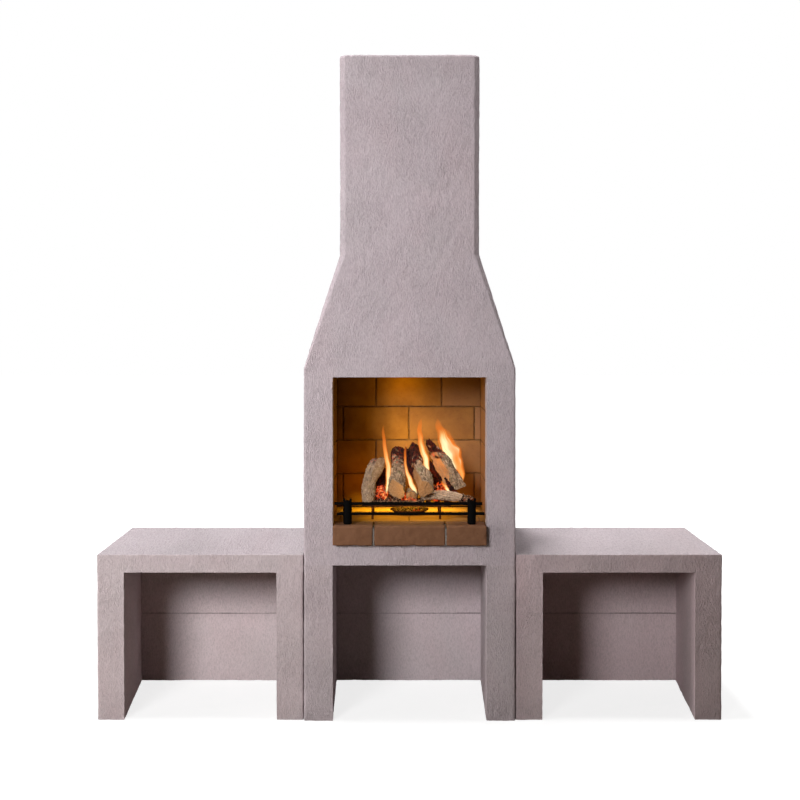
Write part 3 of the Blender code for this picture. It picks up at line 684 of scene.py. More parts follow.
def stackCasting(node, joint):
    # outside from bottom to top, over the top, and down the flue; the loop of loops closes underneath
    sizes, closing = stackSizes, castingSizes["jointClosing"]
    isLast = joint == sizes["top"]
    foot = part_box(node)[0][2]
    bottom = foot - (closing if foot > sizes["opening"] + 0.01 else 0)
    top = joint - closing
    template = loopTemplate(72, 6)
    rows = int((top - bottom) / castingSizes["cell"]) + 1
    heights = np.linspace(bottom, top - (sizes["topArris"] if isLast else 0), rows)
    if bottom < sizes["shoulder"] < top:
        heights = np.unique(np.append(heights, sizes["shoulder"]))
    parts = [loopStack(template, heights, *outerStack(heights))]
    if isLast:
        turns = np.radians([22.5, 45, 67.5, 90])
        rim = np.linspace(*sizes["rim"], 8)
        inset = np.append(sizes["topArris"] * (1 - np.cos(turns)), rim)
        z = np.append(joint - sizes["topArris"] * (1 - np.sin(turns)), np.full(len(rim), joint))
        x0, x1, y0, y1, radius = outerStack(z)
        shrunk = np.maximum(radius - inset * 0.2, sizes["flueRadius"])
        parts.append(loopStack(template, z, x0 + inset, x1 - inset, y0 + inset, y1 - inset, shrunk))
    down = np.linspace(joint if isLast else top, bottom, 12)
    parts.append(loopStack(template, down, *innerStack(down)))
    loops = np.concatenate(parts)
    faces = gridFaces(loops.shape[0], loops.shape[1], 0, True, True)
    made = makeMesh(node + "_plastered", loops.reshape(-1, 3), faces, plasters["stack"])
    workPlaster(made, [bottom] if isLast else [bottom, top])
    putInPlace(made, node)


def plasterStack():
    for node, joint in stackJoints.items():
        stackCasting(node, joint)


plasterStack()
print("fireplace: hood and chimney plastered")


brickSizes = {
    "length": 0.230,
    "width": 0.115,
    "joint": 0.004,
    "groove": 0.003,  # how far the mortar lies behind the bricks
    "mortarCell": 0.02,
    "crisp": 50,  # degrees
}
# the edge radius, the surface's cells, how deep wear goes, and how deep chips go into the arrises
brickWear = {
    "hearth": {"rounding": 0.0045, "cell": 0.0035, "depth": 0.0016, "chip": 0.004},
    "back": {"rounding": 0.0013, "cell": 0.006, "depth": 0.0008, "chip": 0.002},
    "floor": {"rounding": 0.0013, "cell": 0.005, "depth": 0.0008, "chip": 0.0},
    "side": {"rounding": 0.0013, "cell": 0.006, "depth": 0.0008, "chip": 0.0},
}


def brickPoints(low, high, seed, rounding, cell, depth, chip):
    # each point moves towards the brick's middle: shallow hollows everywhere, and chips where an arris
    # meets a high of a coarser wave
    points, faces = blockSurface(low, high, rounding, cell)
    middle, half = (np.array(low) + high) / 2, (np.array(high) - low) / 2
    nearness = np.sort(np.abs(points - middle) / half, axis=1)[:, 1]  # 1 on an arris, less inside a face
    inward = middle - points
    inward /= np.linalg.norm(inward, axis=1)[:, None]
    hollows = 0.5 + 0.35 * unevenness(points, 0.03, seed) + 0.2 * unevenness(points, 0.009, seed + 1)
    amount = depth * np.clip(hollows, 0, 1.6)
    chips = np.clip(unevenness(points, 0.025, seed + 7) - 1.0, 0, 1) * chip * np.clip((nearness - 0.9) / 0.1, 0, 1)
    return points + inward * (amount + chips)[:, None], faces


def courseSpans(low, high, shifted):
    # the bricks of one course; a shifted course has its joint on the middle line
    pitch = brickSizes["length"] + brickSizes["joint"]
    middle = (low + high) / 2 + (pitch / 2 if shifted else 0)
    places = middle + np.arange(-4, 5) * pitch
    starts = np.maximum(places - brickSizes["length"] / 2, low)
    ends = np.minimum(places + brickSizes["length"] / 2, high)
    kept = ends - starts > brickSizes["joint"]
    return list(zip(starts[kept], ends[kept]))


# where the soot and painted shade start and how much further on they are full, and how thick they lie there
sootAndShadeSizes = {"left": (-0.06, 0.19), "leftShare": 0.52, "top": (0.96, 0.16), "topShare": 0.24,
             "behind": (-0.30, 0.20), "most": 0.75}


def sootAndShadeOn(points):
    # soot and painted shade: the bricks darken towards the left wall, which the jamb shades, and under the lintel, and
    # none of it lies in front of the fire
    sizes = sootAndShadeSizes
    (left, leftReach), (top, topReach), (face, faceReach) = sizes["left"], sizes["top"], sizes["behind"]
    towardsLeft = np.clip((left - points[:, 0]) / leftReach, 0, 1.2)
    towardsTop = np.clip((points[:, 2] - top) / topReach, 0, 1)
    behind = np.clip((points[:, 1] - face) / faceReach, 0, 1)
    return behind * np.clip(sizes["leftShare"] * towardsLeft + sizes["topShare"] * towardsTop, 0, sizes["most"])


def dressBrick(made, node, toneAndPaintedLight=0.0):
    keepValue(made, "toneAndPaintedLight", np.full(len(made.data.vertices), toneAndPaintedLight))
    keepValue(made, "sootAndShade", sootAndShadeOn(vectorsOf(made.data.vertices, "co")))
    putInPlace(made, node)


def looseBrick(node, seed, wear, material, toneAndPaintedLight=0.0):
    points, faces = brickPoints(*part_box(node), seed, **brickWear[wear])
    dressBrick(makeMesh(node + "_worn", points, faces, material, brickSizes["crisp"]), node, toneAndPaintedLight)


def laidBricks(node, bricks, lowInset, highInset, toneAndPaintedLight=0.0):
    # bricks in one piece with the bed of mortar behind and between them
    low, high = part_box(node)
    bed = blockSurface(np.add(low, lowInset), np.subtract(high, highInset), 0.0, brickSizes["mortarCell"])
    points, faces = joinSurfaces(bricks + [bed])
    made = makeMesh(node + "_laid", points, faces, firebrick, brickSizes["crisp"])
    made.data.materials.append(mortar)
    marks = np.zeros(len(faces), np.int32)
    marks[len(faces) - len(bed[1]):] = 1
    made.data.polygons.foreach_set("material_index", marks)
    dressBrick(made, node, toneAndPaintedLight)


jointSizes = {
    "overlap": 0.0004,
    "behind": 0.0030,  # behind the bricks' faces, and under their tops
    "below": 0.0090,
    "rear": 0.002,
    "rough": 0.0014,
}


def hearthJoints():
    # pale mortar between the front bricks: a rough slab a little behind their faces, one for each joint
    sizes, overlap = jointSizes, jointSizes["overlap"]
    surfaces = []
    for number in (1, 2):
        leftLow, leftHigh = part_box(f"hearth_brick_{number}")
        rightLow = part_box(f"hearth_brick_{number + 1}")[0]
        low = (leftHigh[0] - overlap, leftLow[1] + sizes["behind"], leftLow[2] + overlap)
        high = (rightLow[0] + overlap, leftHigh[1] - sizes["rear"], leftHigh[2] - sizes["below"])
        points, faces = blockSurface(low, high, 0.0, 0.003)
        front = points[:, 1] < low[1] + 0.001
        rough = 1 + np.clip(unevenness(points[front], 0.014, 160 + number), -1, 1)
        points[front, 1] += sizes["rough"] * rough
        surfaces.append((points, faces))
    putInPlace(makeMesh("hearth_joint_mortar", *joinSurfaces(surfaces), paleMortar, brickSizes["crisp"]))


def floorCourse(node, shifted, seed):
    low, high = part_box(node)
    bricks = []
    for number, (start, end) in enumerate(courseSpans(low[0], high[0], shifted)):
        brickLow, brickHigh = (start, low[1], low[2]), (end, high[1], high[2])
        bricks.append(brickPoints(brickLow, brickHigh, seed + number * 9, **brickWear["floor"]))
    laidBricks(node, bricks, (0.001, 0.003, 0.001), (0.001, 0.003, brickSizes["groove"]))


def sideLining(node, side, toneAndPaintedLight):
    # split bricks in running bond against the shell wall; side is -1 on the left and 1 on the right
    low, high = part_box(node)
    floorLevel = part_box("back_brick_1_1")[0][2]
    pitch = brickSizes["width"] + brickSizes["joint"]
    bricks = []
    for row in range(-1, 4):
        bottom = max(floorLevel + row * pitch, low[2])
        top = min(floorLevel + row * pitch + brickSizes["width"], high[2])
        for number, (start, end) in enumerate(courseSpans(low[1], high[1], row % 2 == 0)):
            seed = 700 + row * 30 + number * 3 + side
            bricks.append(brickPoints((low[0], start, bottom), (high[0], end, top), seed, **brickWear["side"]))
    edge = 0.001
    insets = [(brickSizes["groove"] if isInner else edge, edge, edge) for isInner in (side > 0, side < 0)]
    laidBricks(node, bricks, *insets, toneAndPaintedLight)


def layBricks():
    for number in (1, 2, 3):
        looseBrick(f"hearth_brick_{number}", 100 + number * 10, "hearth", hearthBrick)
    hearthJoints()
    for number, node in enumerate(sorted(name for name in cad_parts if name.startswith("back_brick_"))):
        low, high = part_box(node)
        seed = 210 + number * 10
        # bricks to the right are pinker: painted light where the lamps reach past the left jamb, with a little tone
        # that differs from brick to brick
        toneAndPaintedLight = np.clip(0.12 + 1.5 * (low[0] + high[0]) / 2 + 0.10 * math.sin(seed), 0, 0.7)
        looseBrick(node, seed, "back", firebrick, toneAndPaintedLight)
    for number, shifted in ((2, True), (3, False), (4, True)):
        floorCourse(f"floor_course_{number}", shifted, 500 + number * 40)
    sideLining("left_lining", -1, 0.0)
    # the right lining is made pinker: painted light
    sideLining("right_lining", 1, 0.55)


layBricks()
print("fireplace: firebricks laid")


def dressNodes():
    # these pieces keep their CAD shapes
    kept = {"back_mortar": mortar, "log_grate": burntIron, "ash_dish": burntIron}
    kept.update(dict.fromkeys(("guard_post_left", "guard_post_right", "upper_rail", "lower_rail"), blackIron))
    for node, material in kept.items():
        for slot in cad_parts[node].material_slots:
            slot.material = material


dressNodes()


camera = {
    "place": (-0.0312, -4.7945, 1.2926),
    "tilt": 0.02,  # radians below level
    "focal": 1390.5,  # in pixels of an 800-pixel frame
    "shiftY": -0.0602,
}


def seenAt(across, down, depth):
    # the point at this depth (y) that the camera sees at this pixel of the 800-pixel frame
    place, tilt, focal = camera["place"], camera["tilt"], camera["focal"]
    rise = -(down - 400 - camera["shiftY"] * 800) / focal
    ray = (across - 400) / focal, math.cos(tilt) + rise * math.sin(tilt), rise * math.cos(tilt) - math.sin(tilt)
    reach = (depth - place[1]) / ray[1]
    return tuple(place[axis] + ray[axis] * reach for axis in range(3))


def seenPath(*points):
    return [seenAt(*point) for point in points]


def smoothPath(points, count):
    # one polynomial through all the points, spaced by the distance between them
    points = np.array(points, float)
    spacing = np.concatenate([[0], np.cumsum(np.linalg.norm(np.diff(points, axis=0), axis=1))])
    places = np.linspace(0, spacing[-1], count)
    order = len(points) - 1
    curve = [np.polyval(np.polyfit(spacing, points[:, axis], order), places) for axis in range(3)]
    return np.stack(curve, axis=1), places


def framesAlong(curve, reference):
    # for each point of a path: its direction, the way across and the way back
    ahead = np.gradient(curve, axis=0)
    ahead /= np.linalg.norm(ahead, axis=1)[:, None]
    across = np.cross(np.array(reference, float), ahead)
    across /= np.linalg.norm(across, axis=1)[:, None]
    return ahead, across, np.cross(ahead, across)


def closedTube(rings):
    # rings of points from end to end; both ends close on a middle point
    rows, columns = rings.shape[:2]
    poles = np.stack([rings[0].mean(axis=0), rings[-1].mean(axis=0)])
    points = np.concatenate([rings.reshape(-1, 3), poles])
    here, ahead = np.arange(columns), (np.arange(columns) + 1) % columns
    last = (rows - 1) * columns
    startFan = np.stack([np.full(columns, rows * columns), ahead, here], axis=1)
    endFan = np.stack([last + here, last + ahead, np.full(columns, rows * columns + 1)], axis=1)
    return points, [gridFaces(rows, columns, 0, False, True), np.concatenate([startFan, endFan])]


def stretched(points, factor):
    # widens points across their log by a factor for each, and leaves their place along it
    return points * np.stack([factor, factor, np.ones_like(factor)], axis=-1)


logSizes = {
    "rings": 150,
    "around": 112,
    "capShares": (0.15, 0.32, 0.5, 0.66, 0.8, 0.9, 0.965),  # how far out the rings of an end lie
    "knots": 0.0016,  # how far each kind of relief stands out, in metres
    "furrows": 0.0022,
    "scabs": 0.0007,
    "splitKnots": 0.0012,
    "grain": 0.0009,
    "sawn": 0.0007,
    "burntEnd": 0.0035,
    "endRounding": 0.003,
    "charWander": 0.08,  # of the log's length
}


def logSurface(path, radii, seed, reference=(0, 1, 0), splits=(), cuts=((0, 0), (0, 0)), char=(2.0, 3.0),
               rough=1.0, peeled=0.0, barkedFoot=0.0, ashen=0.0):
    # radius(along) x section(turn) x (1 + furrows); a split side is a plane across the section, which
    # moves out of the log over its barked foot; the ends are rings that shrink to a point, on a plane
    # that may be cut askew. A split is a heading round the section, a share of the radius, and how bare
    # it leaves the wood; char is where along the log the burning starts and is complete.
    sizes = logSizes
    columns, rows, capShares = sizes["around"], sizes["rings"], np.array(sizes["capShares"])
    curve, places = smoothPath(path, rows)
    length = places[-1]
    ahead, across, back = framesAlong(curve, reference)
    turns = np.linspace(0, 2 * np.pi, columns, endpoint=False)
    radius = np.interp(places, np.linspace(0, length, len(radii)), radii)
    section = np.ones((rows, columns))
    bare = np.full((rows, columns), float(peeled))
    outAtFoot = 0 * places
    if barkedFoot:
        outAtFoot = 0.7 * (1 - smoothStep(places / length, barkedFoot - 0.12, barkedFoot + 0.05))
    for heading, distance, bareness in splits:
        facing = np.cos(turns - math.radians(heading))[None, :]
        wander = (1 + 0.07 * np.sin(places * 45 + seed) + outAtFoot)[:, None]
        reach = np.where(facing > 0.05, distance * wander / np.maximum(facing, 0.05), 9)
        bare = np.maximum(bare, bareness * smoothStep(section - reach, -0.01, 0.05))
        section = np.minimum(section, reach)
    outline = section * radius[:, None]
    local = np.stack([np.cos(turns) * outline, np.sin(turns) * outline,
                      np.broadcast_to(places[:, None], (rows, columns))], axis=-1)

    def relief(points, size, number, stretch=(1, 1, 1)):
        return unevenness(points.reshape(-1, 3), size, seed + number, stretch).reshape(points.shape[:2])

    knots = relief(local, 0.035, 0, (1, 1, 2.2))
    furrows = np.minimum(np.abs(relief(local, 0.0085, 1, (1, 1, 3.5))), 1.0) - 0.6
    grain = relief(local, 0.004, 2, (1, 1, 12))
    scabs = relief(local, 0.006, 3, (1, 1, 1.2))
    barkRelief = sizes["knots"] * knots + rough * (sizes["furrows"] * furrows + sizes["scabs"] * scabs)
    splitRelief = sizes["splitKnots"] * knots + sizes["grain"] * grain
    swollen = stretched(local, 1 + (barkRelief * (1 - bare) + splitRelief * bare) / radius[:, None])
    # the ends: cap rings before and after the body's rings shrink, and roughen along the axis
    shares = np.concatenate([capShares, np.ones(rows), capShares[::-1]])
    index = np.concatenate([np.zeros(len(capShares), int), np.arange(rows), np.full(len(capShares), rows - 1)])
    along, onEnd = places[index], shares < 1
    inner = stretched(swollen[index], shares[:, None] * np.ones(columns))
    askew = np.zeros(inner.shape[:2])
    for distance, (slopeAcross, slopeBack) in zip((along, length - along), cuts):
        weight = np.clip(1 - distance / (1.6 * radius.mean()), 0, 1)[:, None]
        askew += weight * (slopeAcross * inner[..., 0] + slopeBack * inner[..., 1])
    sawn, burntEnd = sizes["sawn"] * relief(inner, 0.007, 4), sizes["burntEnd"] * relief(inner, 0.012, 5)
    wander = sizes["charWander"] * relief(inner, 0.022, 6)
    burn = smoothStep(along[:, None] / length + wander, char[0], char[1])
    rounding = (1 - np.sqrt(1 - shares ** 6))[:, None] * sizes["endRounding"]
    outwards = (1 * (index == 0) - 1 * (index == rows - 1))[:, None]
    slide = askew + outwards * rounding + np.where(onEnd[:, None], sawn * (1 - burn) + burntEnd * burn, 0)
    rings = (curve[index][:, None, :] + across[index][:, None, :] * inner[..., :1]
             + back[index][:, None, :] * inner[..., 1:2] + ahead[index][:, None, :] * slide[..., None])
    points, faces = closedTube(rings)
    inner[..., 2] += askew
    bareAll = np.where(onEnd[:, None], 1.0, bare[index])
    marks = {
        "woodPlace": np.concatenate([inner.reshape(-1, 3), [[0, 0, 0], [0, 0, length]]]) + seed * 0.37,
        "bare": np.concatenate([bareAll.ravel(), [1.0, 1.0]]),
        "burnt": np.concatenate([burn.ravel(), [burn[0].mean(), burn[-1].mean()]]),
        "ashen": np.full(len(points), ashen),
    }
    return points, faces, marks


def firelog(node, stems):
    # one log of one or more stems
    points, faces, first = [], [], 0
    for stemPoints, stemFaces, _ in stems:
        points.append(stemPoints)
        faces += [group + first for group in stemFaces]
        first += len(stemPoints)
    made = makeMesh(node + "_bark", np.concatenate(points), faces, firewood, 50)
    for name in ("woodPlace", "bare", "burnt", "ashen"):
        kind = "FLOAT_VECTOR" if name == "woodPlace" else "FLOAT"
        keepValue(made, name, np.concatenate([marks[name] for _, _, marks in stems]), kind)
    putInPlace(made, node)


unlit = (0.0, 0.0, 0.0)
firewoodLook = {
    "greyBark": (0.188, 0.124, 0.079),
    "pinkBark": (0.435, 0.282, 0.172),
    "lichen": (0.235, 0.195, 0.095),
    "ash": (0.620, 0.460, 0.310),
    "powder": (0.520, 0.365, 0.258),
    "crack": (0.062, 0.031, 0.018),
    "bareWood": (0.470, 0.262, 0.128),
    "bareDark": (0.320, 0.158, 0.066),
    "char": (0.018, 0.006, 0.005),
    "charBrown": (0.105, 0.014, 0.006),
    "glow": (1.0, 0.07, 0.01),
    "glowStrength": 0.42,
}


def firewoodMaterial():
    # the pattern follows each log: its third coordinate runs along the wood
    look = firewoodLook
    made, wiring, shader = newMaterial("firewood", 0.93, 0.15)
    place, bare, burnt = wiring.value("woodPlace", "Vector"), wiring.value("bare"), wiring.value("burnt")
    drawn = wiring.scaled(place, (1.0, 1.0, 0.30))
    patches = wiring.patchy(place, 62, 4.0, 0.65, 0.40, 0.62)
    lichens = wiring.patchy(place, 88, 4.0, 0.65, 0.55, 0.64)
    ashes = wiring.patchy(place, 135, 4.0, 0.7, 0.56, 0.66)
    furrows = wiring.oneLess(wiring.patchy(drawn, 170, 3.0, 0.65, 0.33, 0.46))
    bark = wiring.layered(look["greyBark"], (patches, look["pinkBark"]), (lichens, look["lichen"]),
                          (ashes, look["ash"]), (furrows, look["crack"]))
    rings = wiring.noise(wiring.scaled(place, (1.0, 1.0, 0.06)), 420, 3.0, 0.6, 0.5)
    wood = wiring.mix(wiring.between(rings, 0.36, 0.60), look["bareDark"], look["bareWood"])
    charBlocks = wiring.patchy(wiring.scaled(place, (1.0, 1.0, 0.6)), 120, 3.0, 0.6, 0.45, 0.62)
    char = wiring.mix(charBlocks, look["char"], look["charBrown"])
    powder = wiring.times(wiring.patchy(place, 95, 4.0, 0.7, 0.36, 0.56, 0.35, 1.0), wiring.value("ashen"))
    colour = wiring.layered(bark, (bare, wood), (burnt, char), (powder, look["powder"]))
    # a red line of glow where char meets wood
    halfBurnt = wiring.between(wiring.times(burnt, wiring.oneLess(burnt)), 0.15, 0.25)
    glow = wiring.times(halfBurnt, wiring.patchy(place, 70, 3.0, 0.6, 0.50, 0.62))
    wiring.join(wiring.mix(glow, unlit, look["glow"]), shader.inputs["Emission Color"])
    shader.inputs["Emission Strength"].default_value = look["glowStrength"]
    relief = wiring.plus(wiring.noise(drawn, 220, 4.0, 0.65), wiring.times(rings, 0.5))
    cracks = wiring.spots(wiring.scaled(place, (1.0, 1.0, 0.7)), 150, "DISTANCE_TO_EDGE")
    relief = wiring.plus(relief, wiring.times(wiring.between(cracks, 0.0, 0.10, -0.8, 0.0), burnt))
    wiring.surface(colour, relief, 0.8, 0.0018)
    return made


firewood = firewoodMaterial()

# a stem that has burnt through
charred = {"char": (-0.6, -0.3), "rough": 1.3}
# each log's stems, the main one first
logs = {
    "left_bent_log": (
        dict(path=seenPath((368.8, 503, -0.122), (369.2, 485, -0.118), (371.6, 471, -0.108), (377.0, 460.5, -0.092)),
             radii=(0.0213, 0.0222, 0.0222, 0.0200, 0.0150), seed=11, cuts=((0, 0), (0.5, -0.4)),
             char=(0.80, 1.02), ashen=0.35),
        dict(path=seenPath((373.6, 482.5, -0.133), (377.4, 471, -0.132), (381.2, 459.6, -0.122)),
             radii=(0.0085, 0.0150, 0.0160, 0.0140), seed=15, cuts=((0, 0), (0.2, -0.3)),
             char=(0.88, 1.08), rough=0.5, peeled=0.45),
        dict(path=seenPath((372.0, 499.5, -0.100), (378.6, 485, -0.086), (383.0, 468.5, -0.078)),
             radii=(0.0150, 0.0165, 0.0155, 0.0110), seed=19, **charred),
    ),
    "leaning_log_left": (
        dict(path=seenPath((396.2, 490.2, -0.160), (397.9, 472, -0.085), (398.0, 452.0, 0.005)),
             radii=(0.0295, 0.0275, 0.0240, 0.0238, 0.0230), seed=23, cuts=((-0.50, -0.32), (0, 0)), char=(0.51, 0.83)),
    ),
    "leaning_log_right": (
        dict(path=seenPath((424.7, 489.2, -0.160), (420.2, 473, -0.100), (415.3, 461, -0.050), (412.6, 447.5, 0.000)),
             radii=(0.0285, 0.0315, 0.0305, 0.0262, 0.0215), seed=35,
             splits=((200, 0.55, 1.0), (58, 0.84, 0.0), (322, 0.93, 0.0)), cuts=((-0.06, -0.34), (0.1, 0)),
             char=(0.43, 0.60)),
        dict(path=seenPath((413.0, 477, -0.058), (408.0, 462, -0.030), (406.0, 449.0, -0.012)),
             radii=(0.0110, 0.0140, 0.0130, 0.0085), seed=37, **charred),
    ),
    "split_log": (
        dict(path=seenPath((457.6, 489.0, -0.075), (448.0, 474.5, -0.060), (436.8, 456.5, -0.048),
                           (427.6, 441.0, -0.042)),
             radii=(0.0275, 0.0325, 0.0310, 0.0235, 0.0120), seed=47, splits=((228, 0.52, 1.0), (150, 0.76, 1.0)),
             cuts=((-0.30, 0.25), (0.2, 0)), char=(0.64, 0.84), rough=1.3, barkedFoot=0.30),
        dict(path=seenPath((447.0, 489.5, -0.058), (437.8, 479.5, -0.050), (430.0, 463, -0.040)),
             radii=(0.0130, 0.0160, 0.0155, 0.0090), seed=43, **charred),
        dict(path=seenPath((456.2, 494.0, -0.099), (450.4, 486.5, -0.093), (445.0, 477.5, -0.084)),
             radii=(0.0060, 0.0085, 0.0080, 0.0045), seed=45, **charred),
    ),
    "base_log_left": (
        dict(path=[(-0.124, -0.043, 0.7095), (-0.070, -0.042, 0.7105), (-0.014, -0.043, 0.7095)],
             radii=(0.0165, 0.0170, 0.0165), seed=53, reference=(0, 0, 1), ashen=0.4),
    ),
    "base_log_middle": (
        dict(path=[(0.0102, -0.0148, 0.7180), (0.0105, -0.085, 0.7180), seenAt(411.8, 497.4, -0.1575)],
             radii=(0.0180, 0.0185, 0.0185), seed=61, reference=(0, 0, 1), char=(0.80, 1.34)),
    ),
    "base_log_right": (
        dict(path=[(0.0400, -0.1060, 0.7078), (0.105, -0.1045, 0.7135), (0.1760, -0.1060, 0.7058)],
             radii=(0.0115, 0.0130, 0.0165, 0.0160, 0.0105), seed=71, reference=(0, 0, 1),
             cuts=((0.2, 0.3), (-0.2, 0.2)), ashen=0.9),
    ),
}


def stackLogs():
    for node, stems in logs.items():
        firelog(node, [logSurface(**stem) for stem in stems])


stackLogs()
print("fireplace: logs stacked")


bitSizes = (0.0028, 0.0105)  # smallest and largest half width of an ember
# each heap: its middle, half widths, how many bits, and how hot they are
emberHeaps = (
    ((-0.037, -0.116, 0.6965), (0.083, 0.042, 0.004), 170, (0.0, 0.30)),
    ((-0.092, -0.104, 0.7190), (0.021, 0.026, 0.027), 130, (0.55, 1.0)),
    ((-0.020, -0.120, 0.7080), (0.018, 0.018, 0.012), 44, (0.4, 1.0)),
    ((0.103, -0.066, 0.7160), (0.030, 0.022, 0.031), 150, (0.35, 0.85)),
    ((0.190, -0.100, 0.6990), (0.030, 0.020, 0.006), 60, (0.0, 0.30)),
)
# the same for the dish, from the middle of its rim
dishHeaps = (
    ((-0.006, 0.0, -0.009), (0.040, 0.040, 0.005), 130, (0.0, 0.25)),
    ((0.022, -0.010, -0.006), (0.020, 0.018, 0.005), 40, (0.0, 0.6)),
)
emberLook = {
    "dark": (0.016, 0.007, 0.005),
    "ash": (0.330, 0.190, 0.110),
    "red": (0.72, 0.052, 0.006),
    "hot": (1.0, 0.46, 0.130),
}


def emberMaterial():
    look = emberLook
    made, wiring, shader = newMaterial("embers", 0.95, 0.1)
    place, heat = wiring.place(), wiring.value("hotness")
    coolness = wiring.between(heat, 0.0, 0.4, 0.08, 0.0)  # more ash on the bits that have gone out
    ashy = wiring.between(wiring.plus(wiring.noise(place, 150, 3.0, 0.6), coolness), 0.52, 0.62)
    glow = wiring.times(wiring.patchy(place, 85, 4.0, 0.6, 0.34, 0.62), heat)
    colour = wiring.layered(unlit, (wiring.between(glow, 0.18, 0.55), look["red"]),
                            (wiring.between(glow, 0.60, 0.95), look["hot"]))
    wiring.join(colour, shader.inputs["Emission Color"])
    shader.inputs["Emission Strength"].default_value = 1.0
    wiring.surface(wiring.mix(ashy, look["dark"], look["ash"]), wiring.noise(place, 260, 3.0, 0.7), 0.8, 0.002)
    return made


embers = emberMaterial()


def lumpShape():
    # a ball of a few dozen faces: rings between two poles
    rows, columns = 4, 7
    turns, tilts = np.linspace(0, 2 * np.pi, columns, endpoint=False), np.linspace(0, np.pi, rows + 2)[1:-1]
    rings = np.stack([np.outer(np.sin(tilts), np.cos(turns)), np.outer(np.sin(tilts), np.sin(turns)),
                      np.repeat(-np.cos(tilts)[:, None], columns, axis=1)], axis=-1)
    points, faces = closedTube(rings)
    points[-2], points[-1] = (0, 0, -1), (0, 0, 1)
    return points, faces


def scatterLumps(heaps, seed):
    # balls in random places of each heap, stretched, dented and turned at random
    chance = np.random.default_rng(seed)
    shape, shapeFaces = lumpShape()
    places, sizes, heats = [], [], []
    for middle, half, count, heat in heaps:
        way = chance.normal(size=(count, 3))
        way /= np.linalg.norm(way, axis=1)[:, None]
        reach = chance.uniform(0, 1, count)[:, None] ** 0.45
        spot = way * reach * np.array(half)
        spot[:, :2] *= (1 - 0.35 * np.clip(spot[:, 2:] / half[2], 0, 1))  # the heap narrows upwards
        places.append(np.array(middle) + spot)
        sizes.append(chance.uniform(*bitSizes, count))
        heats.append(chance.uniform(*heat, count))
    places, sizes, heats = np.concatenate(places), np.concatenate(sizes), np.concatenate(heats)
    count = len(places)
    lumps = shape[None] * chance.uniform(0.42, 1.35, (count, 1, 3))
    shifted = (lumps + chance.uniform(0, 40, (count, 1, 3))).reshape(-1, 3)
    lumps = lumps * (1 + 0.24 * unevenness(shifted, 1.3, seed).reshape(count, -1, 1))
    angles = chance.uniform(0, 2 * np.pi, (count, 3))
    for axis in range(3):
        a, b = (axis + 1) % 3, (axis + 2) % 3
        cos, sin = np.cos(angles[:, axis])[:, None], np.sin(angles[:, axis])[:, None]
        turnedA, turnedB = lumps[..., a] * cos - lumps[..., b] * sin, lumps[..., a] * sin + lumps[..., b] * cos
        lumps[..., a], lumps[..., b] = turnedA, turnedB
    points = places[:, None] + lumps * sizes[:, None, None]
    shift = (np.arange(count) * shape.shape[0])[:, None, None]
    faces = [(group[None] + shift).reshape(-1, group.shape[1]) for group in shapeFaces]
    return points.reshape(-1, 3), faces, np.repeat(heats, shape.shape[0])


def emberBed():
    # a bed of ash across the grate, and the bits that lie on it
    low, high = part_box("ember_bed")
    bedPoints, bedFaces = blockSurface(low, (high[0], high[1], high[2] - 0.003), 0.004, 0.003)
    lift = 0.0016 * unevenness(bedPoints, 0.012, 81)
    above = bedPoints[:, 2] > low[2] + 0.003
    bedPoints[above, 2] += lift[above]
    points, faces, heats = scatterLumps(emberHeaps, 83)
    points[:, 2] = np.maximum(points[:, 2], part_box("log_grate")[1][2] + 0.0004)
    allFaces = [bedFaces] + [group + len(bedPoints) for group in faces]
    made = makeMesh("ember_bed_bits", np.concatenate([bedPoints, points]), allFaces, embers, 60)
    keepValue(made, "hotness", np.concatenate([np.full(len(bedPoints), 0.15), heats]))
    putInPlace(made, "ember_bed")


def dishEmbers():
    low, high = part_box("ash_dish")
    rim = ((low[0] + high[0]) / 2, (low[1] + high[1]) / 2, high[2])
    points, faces, heats = scatterLumps([(np.add(rim, middle), *rest) for middle, *rest in dishHeaps], 91)
    made = makeMesh("dish_embers", points, faces, embers, 60)
    keepValue(made, "hotness", heats)
    putInPlace(made)


emberBed()
dishEmbers()
print("fireplace: embers laid")


flameLook = {
    "cool": (0.90, 0.200, 0.022),
    "warm": (0.99, 0.520, 0.145),
    "hot": (1.0, 0.880, 0.480),
    "strength": 1.15,
    "thin": 0.35,  # depth over width
}
